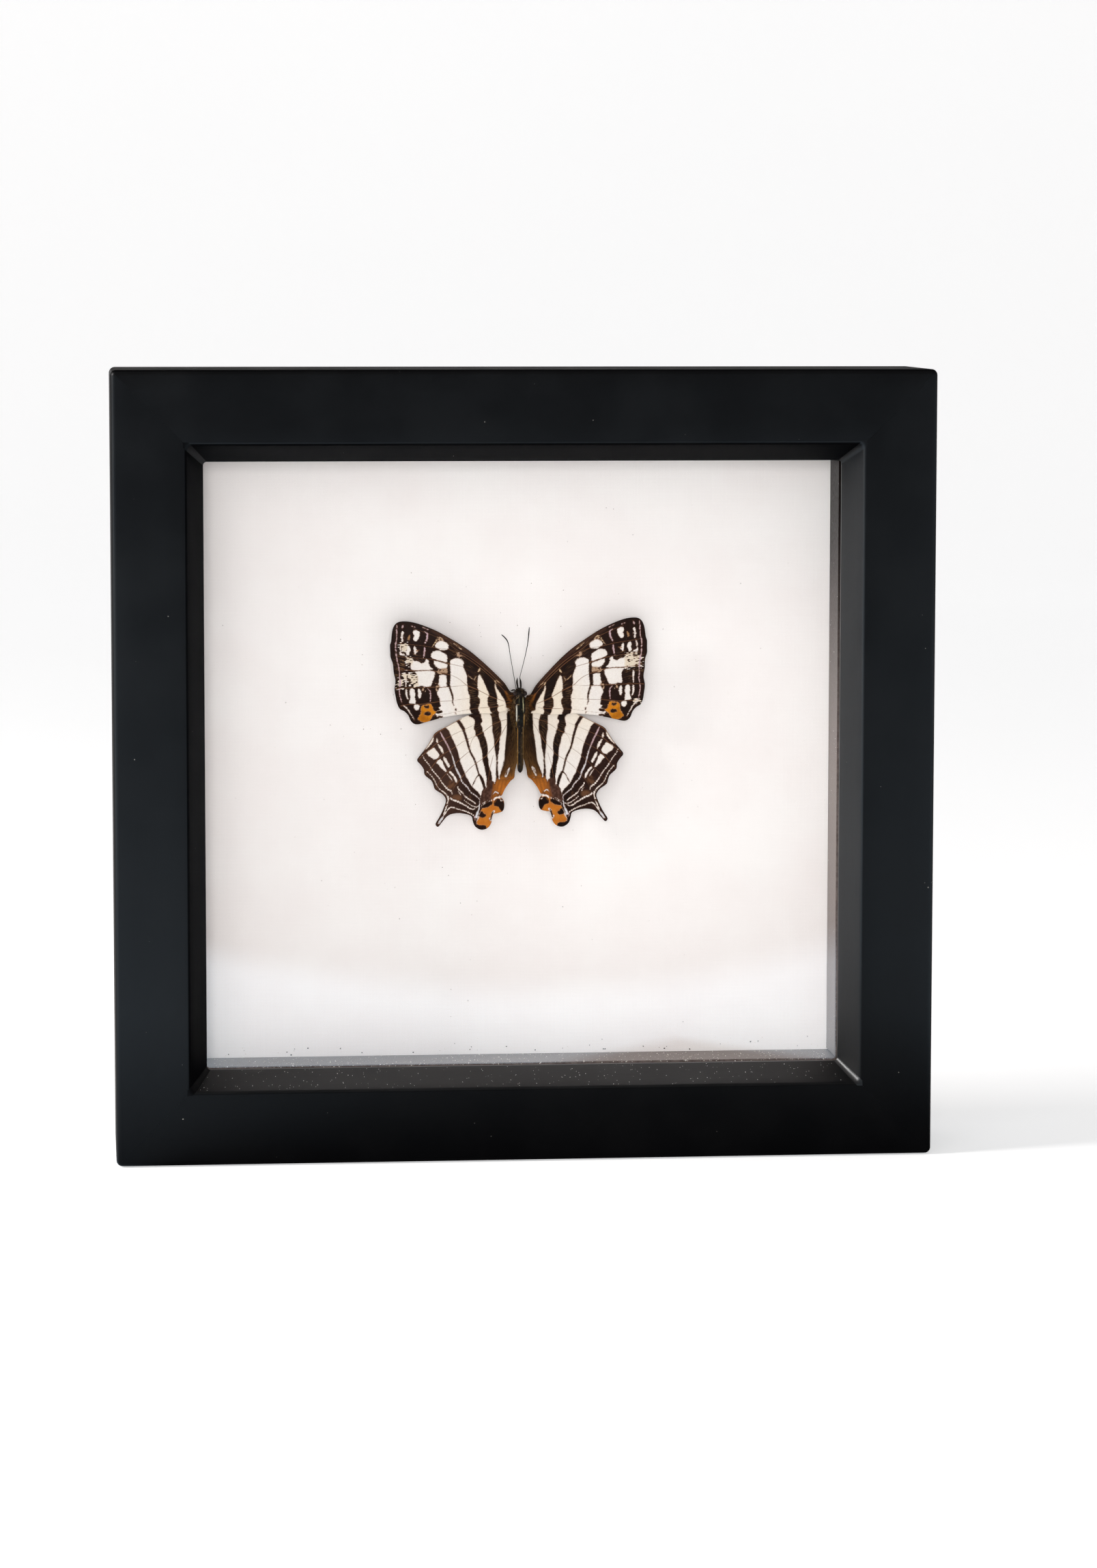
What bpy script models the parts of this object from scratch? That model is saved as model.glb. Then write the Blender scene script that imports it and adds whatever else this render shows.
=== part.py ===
"""Framed butterfly specimen: a small black shadow-box frame with one spread map butterfly.

Units are metres. +Z is up, the glass faces -Y, and the origin is the centre of the
bounding box at the bottom face. Wing and body outlines are written in millimetres from
the middle of the frame: across to the right, and up.
"""

import math

import bmesh
import bpy
from mathutils import Matrix, Vector

MM = 0.001

# Frame, outside sizes. Depths count from the front face towards the back.
FRAME_WIDTH = 0.1520
FRAME_HEIGHT = 0.1464
FRAME_DEPTH = 0.0300
FACE_WIDTH = 0.01364
LIP_REACH = 0.0169
LIP_DEPTH = 0.0061
LIP_THICKNESS = 0.0008
RABBET_WALL = 0.0115
EDGE_RADIUS = 0.0010
EDGE_STEPS = 3
BACK_CHAMFER = 0.0004
GAP = 0.0003

# The sandwich behind the lip.
GLASS_THICKNESS = 0.0020
BOARD_FRONT_DEPTH = 0.01984
BOARD_THICKNESS = 0.0020
BACKING_THICKNESS = 0.0030

# Bendable tabs that hold the backing in.
TAB_THICKNESS = 0.0005
TAB_LENGTH = 0.0110
TAB_IN_WOOD = 0.0035
TAB_WIDTH = 0.0090
TAB_SPACING = 0.0620

# Sawtooth hanger on the back of the top rail.
HANGER_LENGTH = 0.0440
HANGER_HEIGHT = 0.0070
HANGER_FOOT = 0.0085
HANGER_RAMP = 0.0020
HANGER_RISE = 0.0016
HANGER_SHEET = 0.0008
TOOTH_COUNT = 9
TOOTH_PITCH = 0.0020
TOOTH_DEPTH = 0.0014
NAIL_SHANK_RADIUS = 0.0005
NAIL_HEAD_RADIUS = 0.0017
NAIL_HEAD_THICKNESS = 0.0006
NAIL_LENGTH = 0.0080

HANGER_PROUD = GAP + HANGER_RISE + HANGER_SHEET
FRONT_Y = -(FRAME_DEPTH + HANGER_PROUD) / 2
BACK_Y = FRONT_Y + FRAME_DEPTH
HALF_WIDTH = FRAME_WIDTH / 2
MIDDLE_Z = FRAME_HEIGHT / 2
PANE_INSET = RABBET_WALL + GAP
GLASS_FRONT = LIP_DEPTH + LIP_THICKNESS + GAP
GLASS_BACK = GLASS_FRONT + GLASS_THICKNESS
BACKING_FRONT = BOARD_FRONT_DEPTH + BOARD_THICKNESS + GAP
BACKING_BACK = BACKING_FRONT + BACKING_THICKNESS
TAB_DEPTH = BACKING_BACK + GAP
HANGER_Z = FRAME_HEIGHT - RABBET_WALL / 2

# The butterfly. Depths are millimetres from the front face.
WING_THICKNESS = 0.2
FOREWING_DEPTH = 15.3
HINDWING_DEPTH = 15.8
ANTENNA_DEPTH = 15.65
PALP_DEPTH = 15.05
CURVE_STEPS = 3

FOREWING_OUTLINE = [
    (2.3, 12.5), (3.1, 14.1), (5.0, 16.3), (7.0, 18.4), (9.0, 20.3), (11.0, 21.8),
    (13.0, 23.15), (15.0, 24.4), (17.0, 25.4), (19.0, 26.2), (20.6, 26.6), (22.0, 26.6),
    (23.0, 25.95), (23.5, 24.6), (23.75, 23.0), (24.0, 21.6), (24.0, 20.1), (23.6, 18.6),
    (23.55, 17.2), (23.35, 15.6), (23.6, 14.0), (23.3, 11.6), (22.8, 10.3), (21.5, 9.3),
    (20.9, 8.0), (20.3, 7.4), (19.3, 7.25), (17.0, 7.8), (14.0, 8.3), (10.0, 8.7),
    (6.0, 8.5), (3.6, 8.7), (2.3, 9.6),
]
HINDWING_OUTLINE = [
    (2.1, 9.4), (4.0, 9.9), (7.0, 9.6), (10.0, 8.8), (12.0, 8.0), (14.2, 6.9),
    (16.1, 5.85), (17.1, 4.25), (18.8, 2.1), (19.6, 1.05), (19.2, 0.3), (18.4, -0.9),
    (18.2, -1.95), (17.1, -3.0), (16.6, -4.5), (15.2, -5.5), (14.55, -6.6), (14.9, -8.0),
    (15.5, -9.4), (16.6, -11.1), (16.3, -11.7), (15.8, -11.4), (14.85, -10.3),
    (13.9, -9.55), (12.0, -9.35), (10.4, -9.7), (9.7, -10.4), (9.5, -11.5), (8.6, -12.5),
    (7.5, -12.6), (6.5, -12.0), (6.1, -11.0), (5.8, -9.9), (5.0, -9.7), (4.1, -9.45),
    (3.6, -8.3), (3.75, -7.2), (4.3, -6.55), (3.85, -6.1), (2.6, -4.1), (1.5, -3.1),
    (1.1, -1.0), (0.7, 0.6), (0.45, 2.2), (0.5, 4.2), (1.1, 5.6), (2.0, 7.0),
]
# The left wings are set a little lower than the right ones: turn in degrees, pivot, drop.
LEFT_FOREWING_SET = (-3.0, (12.3, 16.5), 0.0)
LEFT_HINDWING_SET = (-2.2, (0.0, 10.5), 0.15)

# Body sections: height, half width, half depth, depth of the middle.
BODY_SECTIONS = [
    (-2.30, 0.12, 0.12, 14.70), (-1.95, 0.42, 0.42, 14.68), (-0.60, 0.60, 0.60, 14.66),
    (2.00, 0.66, 0.64, 14.64), (4.50, 0.70, 0.66, 14.64), (5.80, 0.78, 0.75, 14.70),
    (6.60, 1.05, 1.02, 14.95), (7.60, 1.45, 1.38, 15.25), (9.20, 1.65, 1.50, 15.40),
    (10.70, 1.55, 1.42, 15.40), (11.60, 1.15, 1.10, 15.35), (12.00, 0.80, 0.80, 15.30),
    (12.35, 1.05, 0.85, 15.25), (12.80, 1.12, 0.88, 15.20), (13.20, 0.80, 0.70, 15.20),
    (13.50, 0.25, 0.25, 15.20),
]
BODY_SIDES = 16
LEFT_ANTENNA = [
    (-0.75, 13.95), (-1.10, 15.8), (-1.45, 17.8), (-1.80, 19.8), (-2.00, 21.2),
    (-2.25, 22.2), (-2.70, 22.9), (-3.40, 23.55),
]
RIGHT_ANTENNA = [
    (0.10, 13.95), (0.05, 15.5), (0.45, 17.2), (0.95, 19.2), (1.35, 21.0), (1.60, 22.6),
    (1.72, 23.8), (1.80, 24.9),
]
ANTENNA_RADIUS = 0.08
CLUB_RADIUS = 0.15
CLUB_SHARE = 0.3
LEFT_PALP = [(-0.42, 13.85), (-0.56, 14.7), (-0.50, 15.45)]
RIGHT_PALP = [(0.16, 13.85), (0.12, 14.7), (-0.03, 15.45)]
PALP_RADII = (0.10, 0.17, 0.06)
LEFT_FORELEG = [(-1.12, 13.45), (-1.45, 13.30), (-1.80, 13.12)]
FORELEG_RADII = (0.09, 0.13, 0.05)
TUBE_SIDES = 6
GLUE_HEIGHT_Z = 9.3
GLUE_SECTIONS = [(17.20, 0.85), (17.60, 1.15), (18.60, 1.30), (19.20, 1.60), (19.54, 1.65)]
GLUE_SIDES = 16


def clear_scene():
    """Remove every object that the file opened with."""
    for item in list(bpy.data.objects):
        bpy.data.objects.remove(item, do_unlink=True)


def make_material(name, color, roughness, metallic=0.0, transmission=0.0):
    """Return a Principled material of one colour."""
    material = bpy.data.materials.new(name)
    material.use_nodes = True
    shader = material.node_tree.nodes["Principled BSDF"]
    shader.inputs["Base Color"].default_value = (*color, 1.0)
    shader.inputs["Roughness"].default_value = roughness
    shader.inputs["Metallic"].default_value = metallic
    shader.inputs["Transmission Weight"].default_value = transmission
    return material


def add_object(name, vertices, faces, material, smooth_angle=None):
    """Link a closed mesh object, its faces turned outwards."""
    mesh = bpy.data.meshes.new(name)
    mesh.from_pydata([tuple(v) for v in vertices], [], faces)
    shell = bmesh.new()
    shell.from_mesh(mesh)
    bmesh.ops.recalc_face_normals(shell, faces=shell.faces)
    shell.to_mesh(mesh)
    shell.free()
    mesh.materials.append(material)
    if smooth_angle is not None:
        mesh.shade_smooth()
        mesh.set_sharp_from_angle(angle=math.radians(smooth_angle))
    item = bpy.data.objects.new(name, mesh)
    bpy.context.scene.collection.objects.link(item)
    return item


def prism(name, outline, sweep, material):
    """Close a solid between an outline and the same outline moved by sweep."""
    count = len(outline)
    near = [Vector(p) for p in outline]
    far = [p + Vector(sweep) for p in near]
    order = range(count)
    sides = [(i, i + count, (i + 1) % count + count, (i + 1) % count) for i in order]
    faces = [tuple(order), tuple(count + i for i in reversed(order))] + sides
    return add_object(name, near + far, faces, material)


def block(name, low, high, material):
    """Make a plain rectangular solid between two corners."""
    x0, y0, z0 = low
    x1, y1, z1 = high
    outline = [(x0, y0, z0), (x1, y0, z0), (x1, y0, z1), (x0, y0, z1)]
    return prism(name, outline, (0, y1 - y0, 0), material)


def loft(name, rings, material, smooth_angle=60):
    """Join rings of equal size into one closed skin, each end closed by a face."""
    sides = len(rings[0])
    vertices = [point for ring in rings for point in ring]
    faces = [tuple(range(sides))]
    for r in range(len(rings) - 1):
        base = r * sides
        for s in range(sides):
            after = (s + 1) % sides
            faces.append((base + s, base + sides + s, base + sides + after, base + after))
    last = (len(rings) - 1) * sides
    faces.append(tuple(last + s for s in reversed(range(sides))))
    return add_object(name, vertices, faces, material, smooth_angle)


def smooth_closed(points, steps):
    """Read a closed Catmull-Rom curve through the points."""
    count = len(points)
    curve = []
    for i in range(count):
        p0, p1, p2, p3 = (Vector(points[(i + k) % count]) for k in (-1, 0, 1, 2))
        for s in range(steps):
            t = s / steps
            curve.append(
                0.5 * (2 * p1 + (p2 - p0) * t + (2 * p0 - 5 * p1 + 4 * p2 - p3) * t * t
                       + (3 * p1 - p0 - 3 * p2 + p3) * t ** 3)
            )
    return curve


def specimen_point(across, up, depth):
    """Place a point given in millimetres from the frame's middle and front face."""
    return Vector((across * MM, FRONT_Y + depth * MM, MIDDLE_Z + up * MM))


# ---------------------------------------------------------------- frame


def moulding_profile():
    """Profile of one rail: distance in from the outer edge, and depth."""
    profile = []
    for step in range(EDGE_STEPS + 1):
        angle = math.radians(90) * step / EDGE_STEPS
        inward = EDGE_RADIUS * (1 - math.cos(angle))
        depth = EDGE_RADIUS * (1 - math.sin(angle))
        profile.append((inward, depth))
    profile += [
        (FACE_WIDTH, 0.0),
        (LIP_REACH, LIP_DEPTH),
        (LIP_REACH, LIP_DEPTH + LIP_THICKNESS),
        (RABBET_WALL, LIP_DEPTH + LIP_THICKNESS),
        (RABBET_WALL, FRAME_DEPTH),
        (BACK_CHAMFER, FRAME_DEPTH),
        (0.0, FRAME_DEPTH - BACK_CHAMFER),
    ]
    return profile


def mitred_rail(name, length, place, material):
    """Sweep the profile along one side, each end cut at 45 degrees with a hairline gap."""
    mitre_gap = GAP / 2 * math.sqrt(2)
    start = []
    end = []
    for inward, depth in moulding_profile():
        reach = length / 2 - inward - mitre_gap
        start.append(place(-reach, inward, depth))
        end.append(place(reach, inward, depth))
    return loft(name, [end, start], material, smooth_angle=35)


def place_top(along, inward, depth):
    return Vector((along, FRONT_Y + depth, FRAME_HEIGHT - inward))


def place_bottom(along, inward, depth):
    return Vector((-along, FRONT_Y + depth, inward))


def place_right(along, inward, depth):
    return Vector((HALF_WIDTH - inward, FRONT_Y + depth, MIDDLE_Z - along))


def place_left(along, inward, depth):
    return Vector((inward - HALF_WIDTH, FRONT_Y + depth, MIDDLE_Z + along))


def make_frame(wood):
    """Make the four mitred lengths of moulding."""
    return {
        "top": mitred_rail("rail_top", FRAME_WIDTH, place_top, wood("rail_top")),
        "bottom": mitred_rail("rail_bottom", FRAME_WIDTH, place_bottom, wood("rail_bottom")),
        "left": mitred_rail("stile_left", FRAME_HEIGHT, place_left, wood("stile_left")),
        "right": mitred_rail("stile_right", FRAME_HEIGHT, place_right, wood("stile_right")),
    }


def panel(name, inset, front, back, material):
    """Make a sheet that fills the rabbet between two depths."""
    low = (inset - HALF_WIDTH, FRONT_Y + front, inset)
    high = (HALF_WIDTH - inset, FRONT_Y + back, FRAME_HEIGHT - inset)
    return block(name, low, high, material)


def make_spacers(black):
    """Make the four strips that hold the glass off the board."""
    y0 = FRONT_Y + GLASS_BACK + GAP
    y1 = FRONT_Y + BOARD_FRONT_DEPTH - GAP
    outer = HALF_WIDTH - PANE_INSET
    inner = HALF_WIDTH - LIP_REACH
    top = FRAME_HEIGHT - PANE_INSET
    ledge = FRAME_HEIGHT - LIP_REACH
    block("spacer_top", (-outer, y0, ledge), (outer, y1, top), black("spacer_top"))
    block("spacer_bottom", (-outer, y0, PANE_INSET), (outer, y1, LIP_REACH),
          black("spacer_bottom"))
    low_z = LIP_REACH + GAP
    high_z = ledge - GAP
    block("spacer_left", (-outer, y0, low_z), (-inner, y1, high_z), black("spacer_left"))
    block("spacer_right", (inner, y0, low_z), (outer, y1, high_z), black("spacer_right"))


def cutter(item, target):
    """Cut item's shape out of target and leave item as a hidden guide."""
    item.hide_render = True
    item.display_type = "WIRE"
    cut = target.modifiers.new("cut", "BOOLEAN")
    cut.operation = "DIFFERENCE"
    cut.solver = "EXACT"
    cut.object = item


def tab_box(place, along, clearance):
    """Corners of one tab, or of its slot when a clearance is given."""
    y0 = TAB_DEPTH - clearance
    y1 = TAB_DEPTH + TAB_THICKNESS + clearance
    half = TAB_WIDTH / 2 + clearance
    inner = RABBET_WALL - TAB_IN_WOOD - clearance
    outer = RABBET_WALL - TAB_IN_WOOD + TAB_LENGTH
    a = place(along - half, inner, y0)
    b = place(along + half, outer, y1)
    low = tuple(min(a[k], b[k]) for k in range(3))
    high = tuple(max(a[k], b[k]) for k in range(3))
    return low, high


def make_tabs(rails, steel):
    """Make two bendable tabs a side, each seated in a slot in its rail."""
    places = {"top": place_top, "bottom": place_bottom, "left": place_left,
              "right": place_right}
    for side, place in places.items():
        for number, along in enumerate((-TAB_SPACING / 2, TAB_SPACING / 2), start=1):
            name = f"tab_{side}_{number}"
            block(name, *tab_box(place, along, 0.0), steel(name))
            slot = block(f"slot_{side}_{number}", *tab_box(place, along, GAP), steel(name))
            cutter(slot, rails[side])


def disc_ring(centre_x, centre_z, y, radius, sides):
    """Return one ring of points around an axis along Y."""
    ring = []
    for s in range(sides):
        angle = math.tau * s / sides
        ring.append((centre_x + radius * math.cos(angle), y,
                     centre_z + radius * math.sin(angle)))
    return ring


def turned(name, x, z, stations, sides, material):
    """Turn a solid around an axis along Y from (y, radius) stations."""
    rings = [disc_ring(x, z, y, radius, sides) for y, radius in stations]
    return loft(name, rings, material)


def make_hanger(top_rail, steel):
    """Make the sawtooth hanger and its two nails on the back of the top rail."""
    y0 = BACK_Y + GAP
    half = HANGER_LENGTH / 2
    foot = half - HANGER_FOOT
    bridge = foot - HANGER_RAMP
    under = [(-half, 0), (-foot, 0), (-bridge, HANGER_RISE), (bridge, HANGER_RISE),
             (foot, 0), (half, 0)]
    over = [(x, y + HANGER_SHEET) for x, y in reversed(under)]
    base_z = HANGER_Z - HANGER_HEIGHT / 2
    outline = [(x, y0 + y, base_z) for x, y in under + over]
    hanger = prism("sawtooth_hanger", outline, (0, 0, HANGER_HEIGHT), steel("sawtooth_hanger"))

    teeth = [(-TOOTH_COUNT * TOOTH_PITCH / 2, -TOOTH_DEPTH)]
    for number in range(TOOTH_COUNT):
        middle = (number - (TOOTH_COUNT - 1) / 2) * TOOTH_PITCH
        teeth += [(middle - TOOTH_PITCH * 0.4, 0.0), (middle, TOOTH_DEPTH),
                  (middle + TOOTH_PITCH * 0.4, 0.0)]
    teeth.append((TOOTH_COUNT * TOOTH_PITCH / 2, -TOOTH_DEPTH))
    profile = [(x, y0 + HANGER_RISE / 2, base_z + z) for x, z in teeth]
    zigzag = prism("hanger_teeth_cut", profile, (0, HANGER_RISE * 2, 0), steel("cutter"))
    cutter(zigzag, hanger)

    for side, sign in (("left", -1), ("right", 1)):
        x = sign * (half - HANGER_FOOT / 2)
        tip = BACK_Y - NAIL_LENGTH
        head = y0 + HANGER_SHEET + GAP
        name = f"hanger_nail_{side}"
        turned(name, x, HANGER_Z,
               [(tip, 0.0001), (tip + 0.0012, NAIL_SHANK_RADIUS), (head, NAIL_SHANK_RADIUS),
                (head + 0.00001, NAIL_HEAD_RADIUS),
                (head + NAIL_HEAD_THICKNESS, NAIL_HEAD_RADIUS * 0.8)], 12, steel(name))
        bore = NAIL_SHANK_RADIUS + GAP
        hole = turned(f"nail_hole_{side}", x, HANGER_Z,
                      [(tip - GAP, bore), (y0 + HANGER_SHEET * 2, bore)], 12, steel(name))
        cutter(hole, top_rail)
        cutter(hole, hanger)


# ---------------------------------------------------------------- butterfly


def mirrored_wing(outline, setting):
    """Turn a right wing's outline into the left one, with its own set."""
    degrees, pivot, drop = setting
    middle = Vector(pivot)
    turn = Matrix.Rotation(math.radians(degrees), 2)
    moved = []
    for point in outline:
        across, up = turn @ (Vector(point) - middle) + middle
        moved.append((-across, up - drop))
    return moved


def make_wing(name, outline, depth, material):
    """Make one wing as a thin flat plate on a smooth outline."""
    front = depth - WING_THICKNESS / 2
    curve = smooth_closed(outline, CURVE_STEPS)
    edge = [specimen_point(p[0], p[1], front) for p in curve]
    return prism(name, edge, (0, WING_THICKNESS * MM, 0), material)


def body_ring(up, half_width, half_depth, depth):
    """Return one section of the body."""
    ring = []
    for s in range(BODY_SIDES):
        angle = math.tau * s / BODY_SIDES
        ring.append(specimen_point(half_width * math.cos(angle), up,
                                   depth + half_depth * math.sin(angle)))
    return ring


def tube(name, route, depth, radii, material):
    """Make a round tapered limb along a route that lies in one plane."""
    points = [Vector(p) for p in route]
    rings = []
    for i, point in enumerate(points):
        ahead = points[min(i + 1, len(points) - 1)]
        behind = points[max(i - 1, 0)]
        along = (ahead - behind).normalized()
        across = Vector((along.y, -along.x))
        ring = []
        for s in range(TUBE_SIDES):
            angle = math.tau * s / TUBE_SIDES
            flat = point + across * (radii[i] * math.cos(angle))
            ring.append(specimen_point(flat.x, flat.y, depth + radii[i] * math.sin(angle)))
        rings.append(ring)
    return loft(name, rings, material)


def antenna_radii(count):
    """Thin shaft that swells into the club near its tip."""
    radii = []
    for i in range(count):
        t = i / (count - 1)
        swell = max(0.0, (t - (1 - CLUB_SHARE)) / CLUB_SHARE)
        radii.append(ANTENNA_RADIUS + (CLUB_RADIUS - ANTENNA_RADIUS) * math.sin(swell * 2.2))
    return radii


def make_butterfly(scales, chitin, glue):
    """Make the body, wings, antennae, palps, the folded foreleg and the glue dab."""
    left_fore = mirrored_wing(FOREWING_OUTLINE, LEFT_FOREWING_SET)
    left_hind = mirrored_wing(HINDWING_OUTLINE, LEFT_HINDWING_SET)
    make_wing("forewing_right", FOREWING_OUTLINE, FOREWING_DEPTH, scales("forewing_right"))
    make_wing("forewing_left", left_fore, FOREWING_DEPTH, scales("forewing_left"))
    make_wing("hindwing_right", HINDWING_OUTLINE, HINDWING_DEPTH, scales("hindwing_right"))
    make_wing("hindwing_left", left_hind, HINDWING_DEPTH, scales("hindwing_left"))
    rings = [body_ring(*section) for section in BODY_SECTIONS]
    loft("butterfly_body", rings, chitin("butterfly_body"))
    for name, route in (("antenna_left", LEFT_ANTENNA), ("antenna_right", RIGHT_ANTENNA)):
        tube(name, route, ANTENNA_DEPTH, antenna_radii(len(route)), chitin(name))
    tube("palp_left", LEFT_PALP, PALP_DEPTH, PALP_RADII, chitin("palp_left"))
    tube("palp_right", RIGHT_PALP, PALP_DEPTH, PALP_RADII, chitin("palp_right"))
    tube("foreleg_left", LEFT_FORELEG, PALP_DEPTH, FORELEG_RADII, chitin("foreleg_left"))
    stations = [(FRONT_Y + depth * MM, radius * MM) for depth, radius in GLUE_SECTIONS]
    turned("glue_dab", 0.0, MIDDLE_Z + GLUE_HEIGHT_Z * MM, stations, GLUE_SIDES, glue)


def main():
    """Build the whole object."""
    clear_scene()

    def wood(name):
        return make_material(name, (0.012, 0.012, 0.013), 0.38)

    def black(name):
        return make_material(name, (0.020, 0.014, 0.012), 0.60)

    def steel(name):
        return make_material(name, (0.55, 0.54, 0.52), 0.35, metallic=1.0)

    def scales(name):
        return make_material(name, (0.72, 0.68, 0.62), 0.80)

    def chitin(name):
        return make_material(name, (0.030, 0.018, 0.012), 0.60)

    rails = make_frame(wood)
    glass = make_material("glass_pane", (1.0, 1.0, 1.0), 0.02, transmission=1.0)
    panel("glass_pane", PANE_INSET, GLASS_FRONT, GLASS_BACK, glass)
    make_spacers(black)
    card = make_material("mount_board", (0.86, 0.84, 0.82), 0.85)
    panel("mount_board", PANE_INSET, BOARD_FRONT_DEPTH, BOARD_FRONT_DEPTH + BOARD_THICKNESS,
          card)
    fibre = make_material("backing_board", (0.36, 0.24, 0.14), 0.80)
    panel("backing_board", PANE_INSET, BACKING_FRONT, BACKING_BACK, fibre)
    make_tabs(rails, steel)
    make_hanger(rails["top"], steel)
    glue = make_material("glue_dab", (0.80, 0.72, 0.52), 0.40)
    make_butterfly(scales, chitin, glue)


main()
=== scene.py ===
"""Looks of the framed butterfly specimen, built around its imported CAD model.

The object's own coordinates are millimetres: across to the right and up from the middle of
the frame, and depth from the frame's front face. The function place() turns them into metres
in the row frame. Colours are written as sRGB values from 0 to 255.
"""

import math

import bmesh
import bpy
import numpy as np
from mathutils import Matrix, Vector


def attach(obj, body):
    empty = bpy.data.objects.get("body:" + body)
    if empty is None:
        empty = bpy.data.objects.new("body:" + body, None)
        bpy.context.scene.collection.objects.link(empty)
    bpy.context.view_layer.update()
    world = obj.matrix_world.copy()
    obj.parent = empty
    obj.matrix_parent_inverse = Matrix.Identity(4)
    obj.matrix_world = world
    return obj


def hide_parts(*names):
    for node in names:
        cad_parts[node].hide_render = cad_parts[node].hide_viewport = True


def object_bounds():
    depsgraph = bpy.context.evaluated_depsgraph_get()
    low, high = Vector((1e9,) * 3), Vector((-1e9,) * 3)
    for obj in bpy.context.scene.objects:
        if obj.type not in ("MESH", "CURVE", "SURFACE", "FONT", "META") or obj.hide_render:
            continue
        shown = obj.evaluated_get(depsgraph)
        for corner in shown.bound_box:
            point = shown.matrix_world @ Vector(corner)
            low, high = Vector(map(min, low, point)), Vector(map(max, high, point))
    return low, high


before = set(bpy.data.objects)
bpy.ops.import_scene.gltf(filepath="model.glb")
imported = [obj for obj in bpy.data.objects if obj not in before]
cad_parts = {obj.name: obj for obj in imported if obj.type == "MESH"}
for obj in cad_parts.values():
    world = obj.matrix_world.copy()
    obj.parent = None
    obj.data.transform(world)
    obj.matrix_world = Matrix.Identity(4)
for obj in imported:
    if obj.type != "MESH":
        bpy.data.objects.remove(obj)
CAD_LOW, CAD_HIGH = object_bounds()

MM = 0.001
FRONT_Y = CAD_LOW.y
MIDDLE_Z = (CAD_LOW.z + CAD_HIGH.z) / 2
HALF_WIDTH = CAD_HIGH.x / MM
HALF_HEIGHT = (CAD_HIGH.z - CAD_LOW.z) / 2 / MM

# ---------------------------------------------------------------- small helpers


def place(across, up, depth):
    """Turn the object's millimetres into metres in the row frame."""
    return Vector((across * MM, FRONT_Y + depth * MM, MIDDLE_Z + up * MM))


def place_all(across, up, depth):
    """Do the same as place() for whole arrays."""
    across, up, depth = np.broadcast_arrays(across, up, depth)
    return np.stack([across * MM, FRONT_Y + depth * MM, MIDDLE_Z + up * MM], axis=-1)


def rows_of(*columns):
    """Put columns side by side as rows. A column may be one number."""
    return np.stack(np.broadcast_arrays(*columns), axis=1)


def linear(color):
    """Turn an sRGB colour from 0 to 255 into linear light."""
    c = np.asarray(color, float) / 255.0
    return np.where(c <= 0.04045, c / 12.92, ((c + 0.055) / 1.055) ** 2.4)


def rgba(color):
    """Return a linear colour with full alpha, as a shader socket wants it."""
    return (*(float(c) for c in linear(color)), 1.0)


def add_mesh(name, vertices, faces, material, smooth=True):
    """Link a new mesh object."""
    mesh = bpy.data.meshes.new(name)
    mesh.from_pydata([tuple(v) for v in vertices], [], [tuple(f) for f in faces])
    mesh.materials.append(material)
    if smooth:
        mesh.shade_smooth()
    item = bpy.data.objects.new(name, mesh)
    bpy.context.scene.collection.objects.link(item)
    return item


def tube_faces(rows, around, first=0):
    """Faces of a closed tube: a cap, quads between its rings of points, and a cap."""
    faces = [range(around)]
    for base in range(0, (rows - 1) * around, around):
        for k in range(around):
            after = (k + 1) % around
            faces.append((base + k, base + around + k, base + around + after, base + after))
    faces.append(range((rows - 1) * around, rows * around))
    return [tuple(first + k for k in face) for face in faces]


def add_shell(name, vertices, faces, material, sharp_angle=None, weld=0.0, smooth=True):
    """Link a new closed mesh with its faces outwards, and join points closer than weld."""
    item = add_mesh(name, vertices, faces, material, smooth)
    shell = bmesh.new()
    shell.from_mesh(item.data)
    if weld:
        bmesh.ops.remove_doubles(shell, verts=shell.verts, dist=weld)
    bmesh.ops.recalc_face_normals(shell, faces=shell.faces)
    shell.to_mesh(item.data)
    shell.free()
    if sharp_angle:
        item.data.set_sharp_from_angle(angle=math.radians(sharp_angle))
    return item


def add_piece(item, slot, *nodes):
    """Make an object a piece of the part, in place of the given CAD nodes."""
    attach(item, "root")
    if nodes:
        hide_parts(*nodes)
    return item


def store(item, name, values, kind="FLOAT", field="value"):
    """Store a number or a row of numbers at each point of a mesh."""
    item.data.attributes.new(name, kind, "POINT").data.foreach_set(
        field, np.asarray(values, np.float32).ravel())


def store_color(item, name, colors):
    """Store one linear colour a point."""
    store(item, name, np.insert(colors, 3, 1.0, axis=1), "FLOAT_COLOR", "color")


def smooth_curve(points, steps, closed=True):
    """Read a Catmull-Rom curve through rows of numbers, the first two of them a place."""
    p = np.asarray(points, float)
    count = len(p)
    if closed:
        before, after, far = (np.roll(p, k, axis=0) for k in (1, -1, -2))
        start = p
    else:
        padded = np.vstack([2 * p[0] - p[1], p, 2 * p[-1] - p[-2]])
        before, start, after, far = (padded[k:k + count - 1] for k in range(4))
    t = (np.arange(steps) / steps)[None, :, None]
    b, s, a, f = (q[:, None, :] for q in (before, start, after, far))
    curve = 0.5 * (2 * s + (a - b) * t + (2 * b - 5 * s + 4 * a - f) * t * t
                   + (3 * s - b - 3 * a + f) * t ** 3)
    curve = curve.reshape(-1, p.shape[1])
    return curve if closed else np.vstack([curve, p[-1]])


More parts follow.
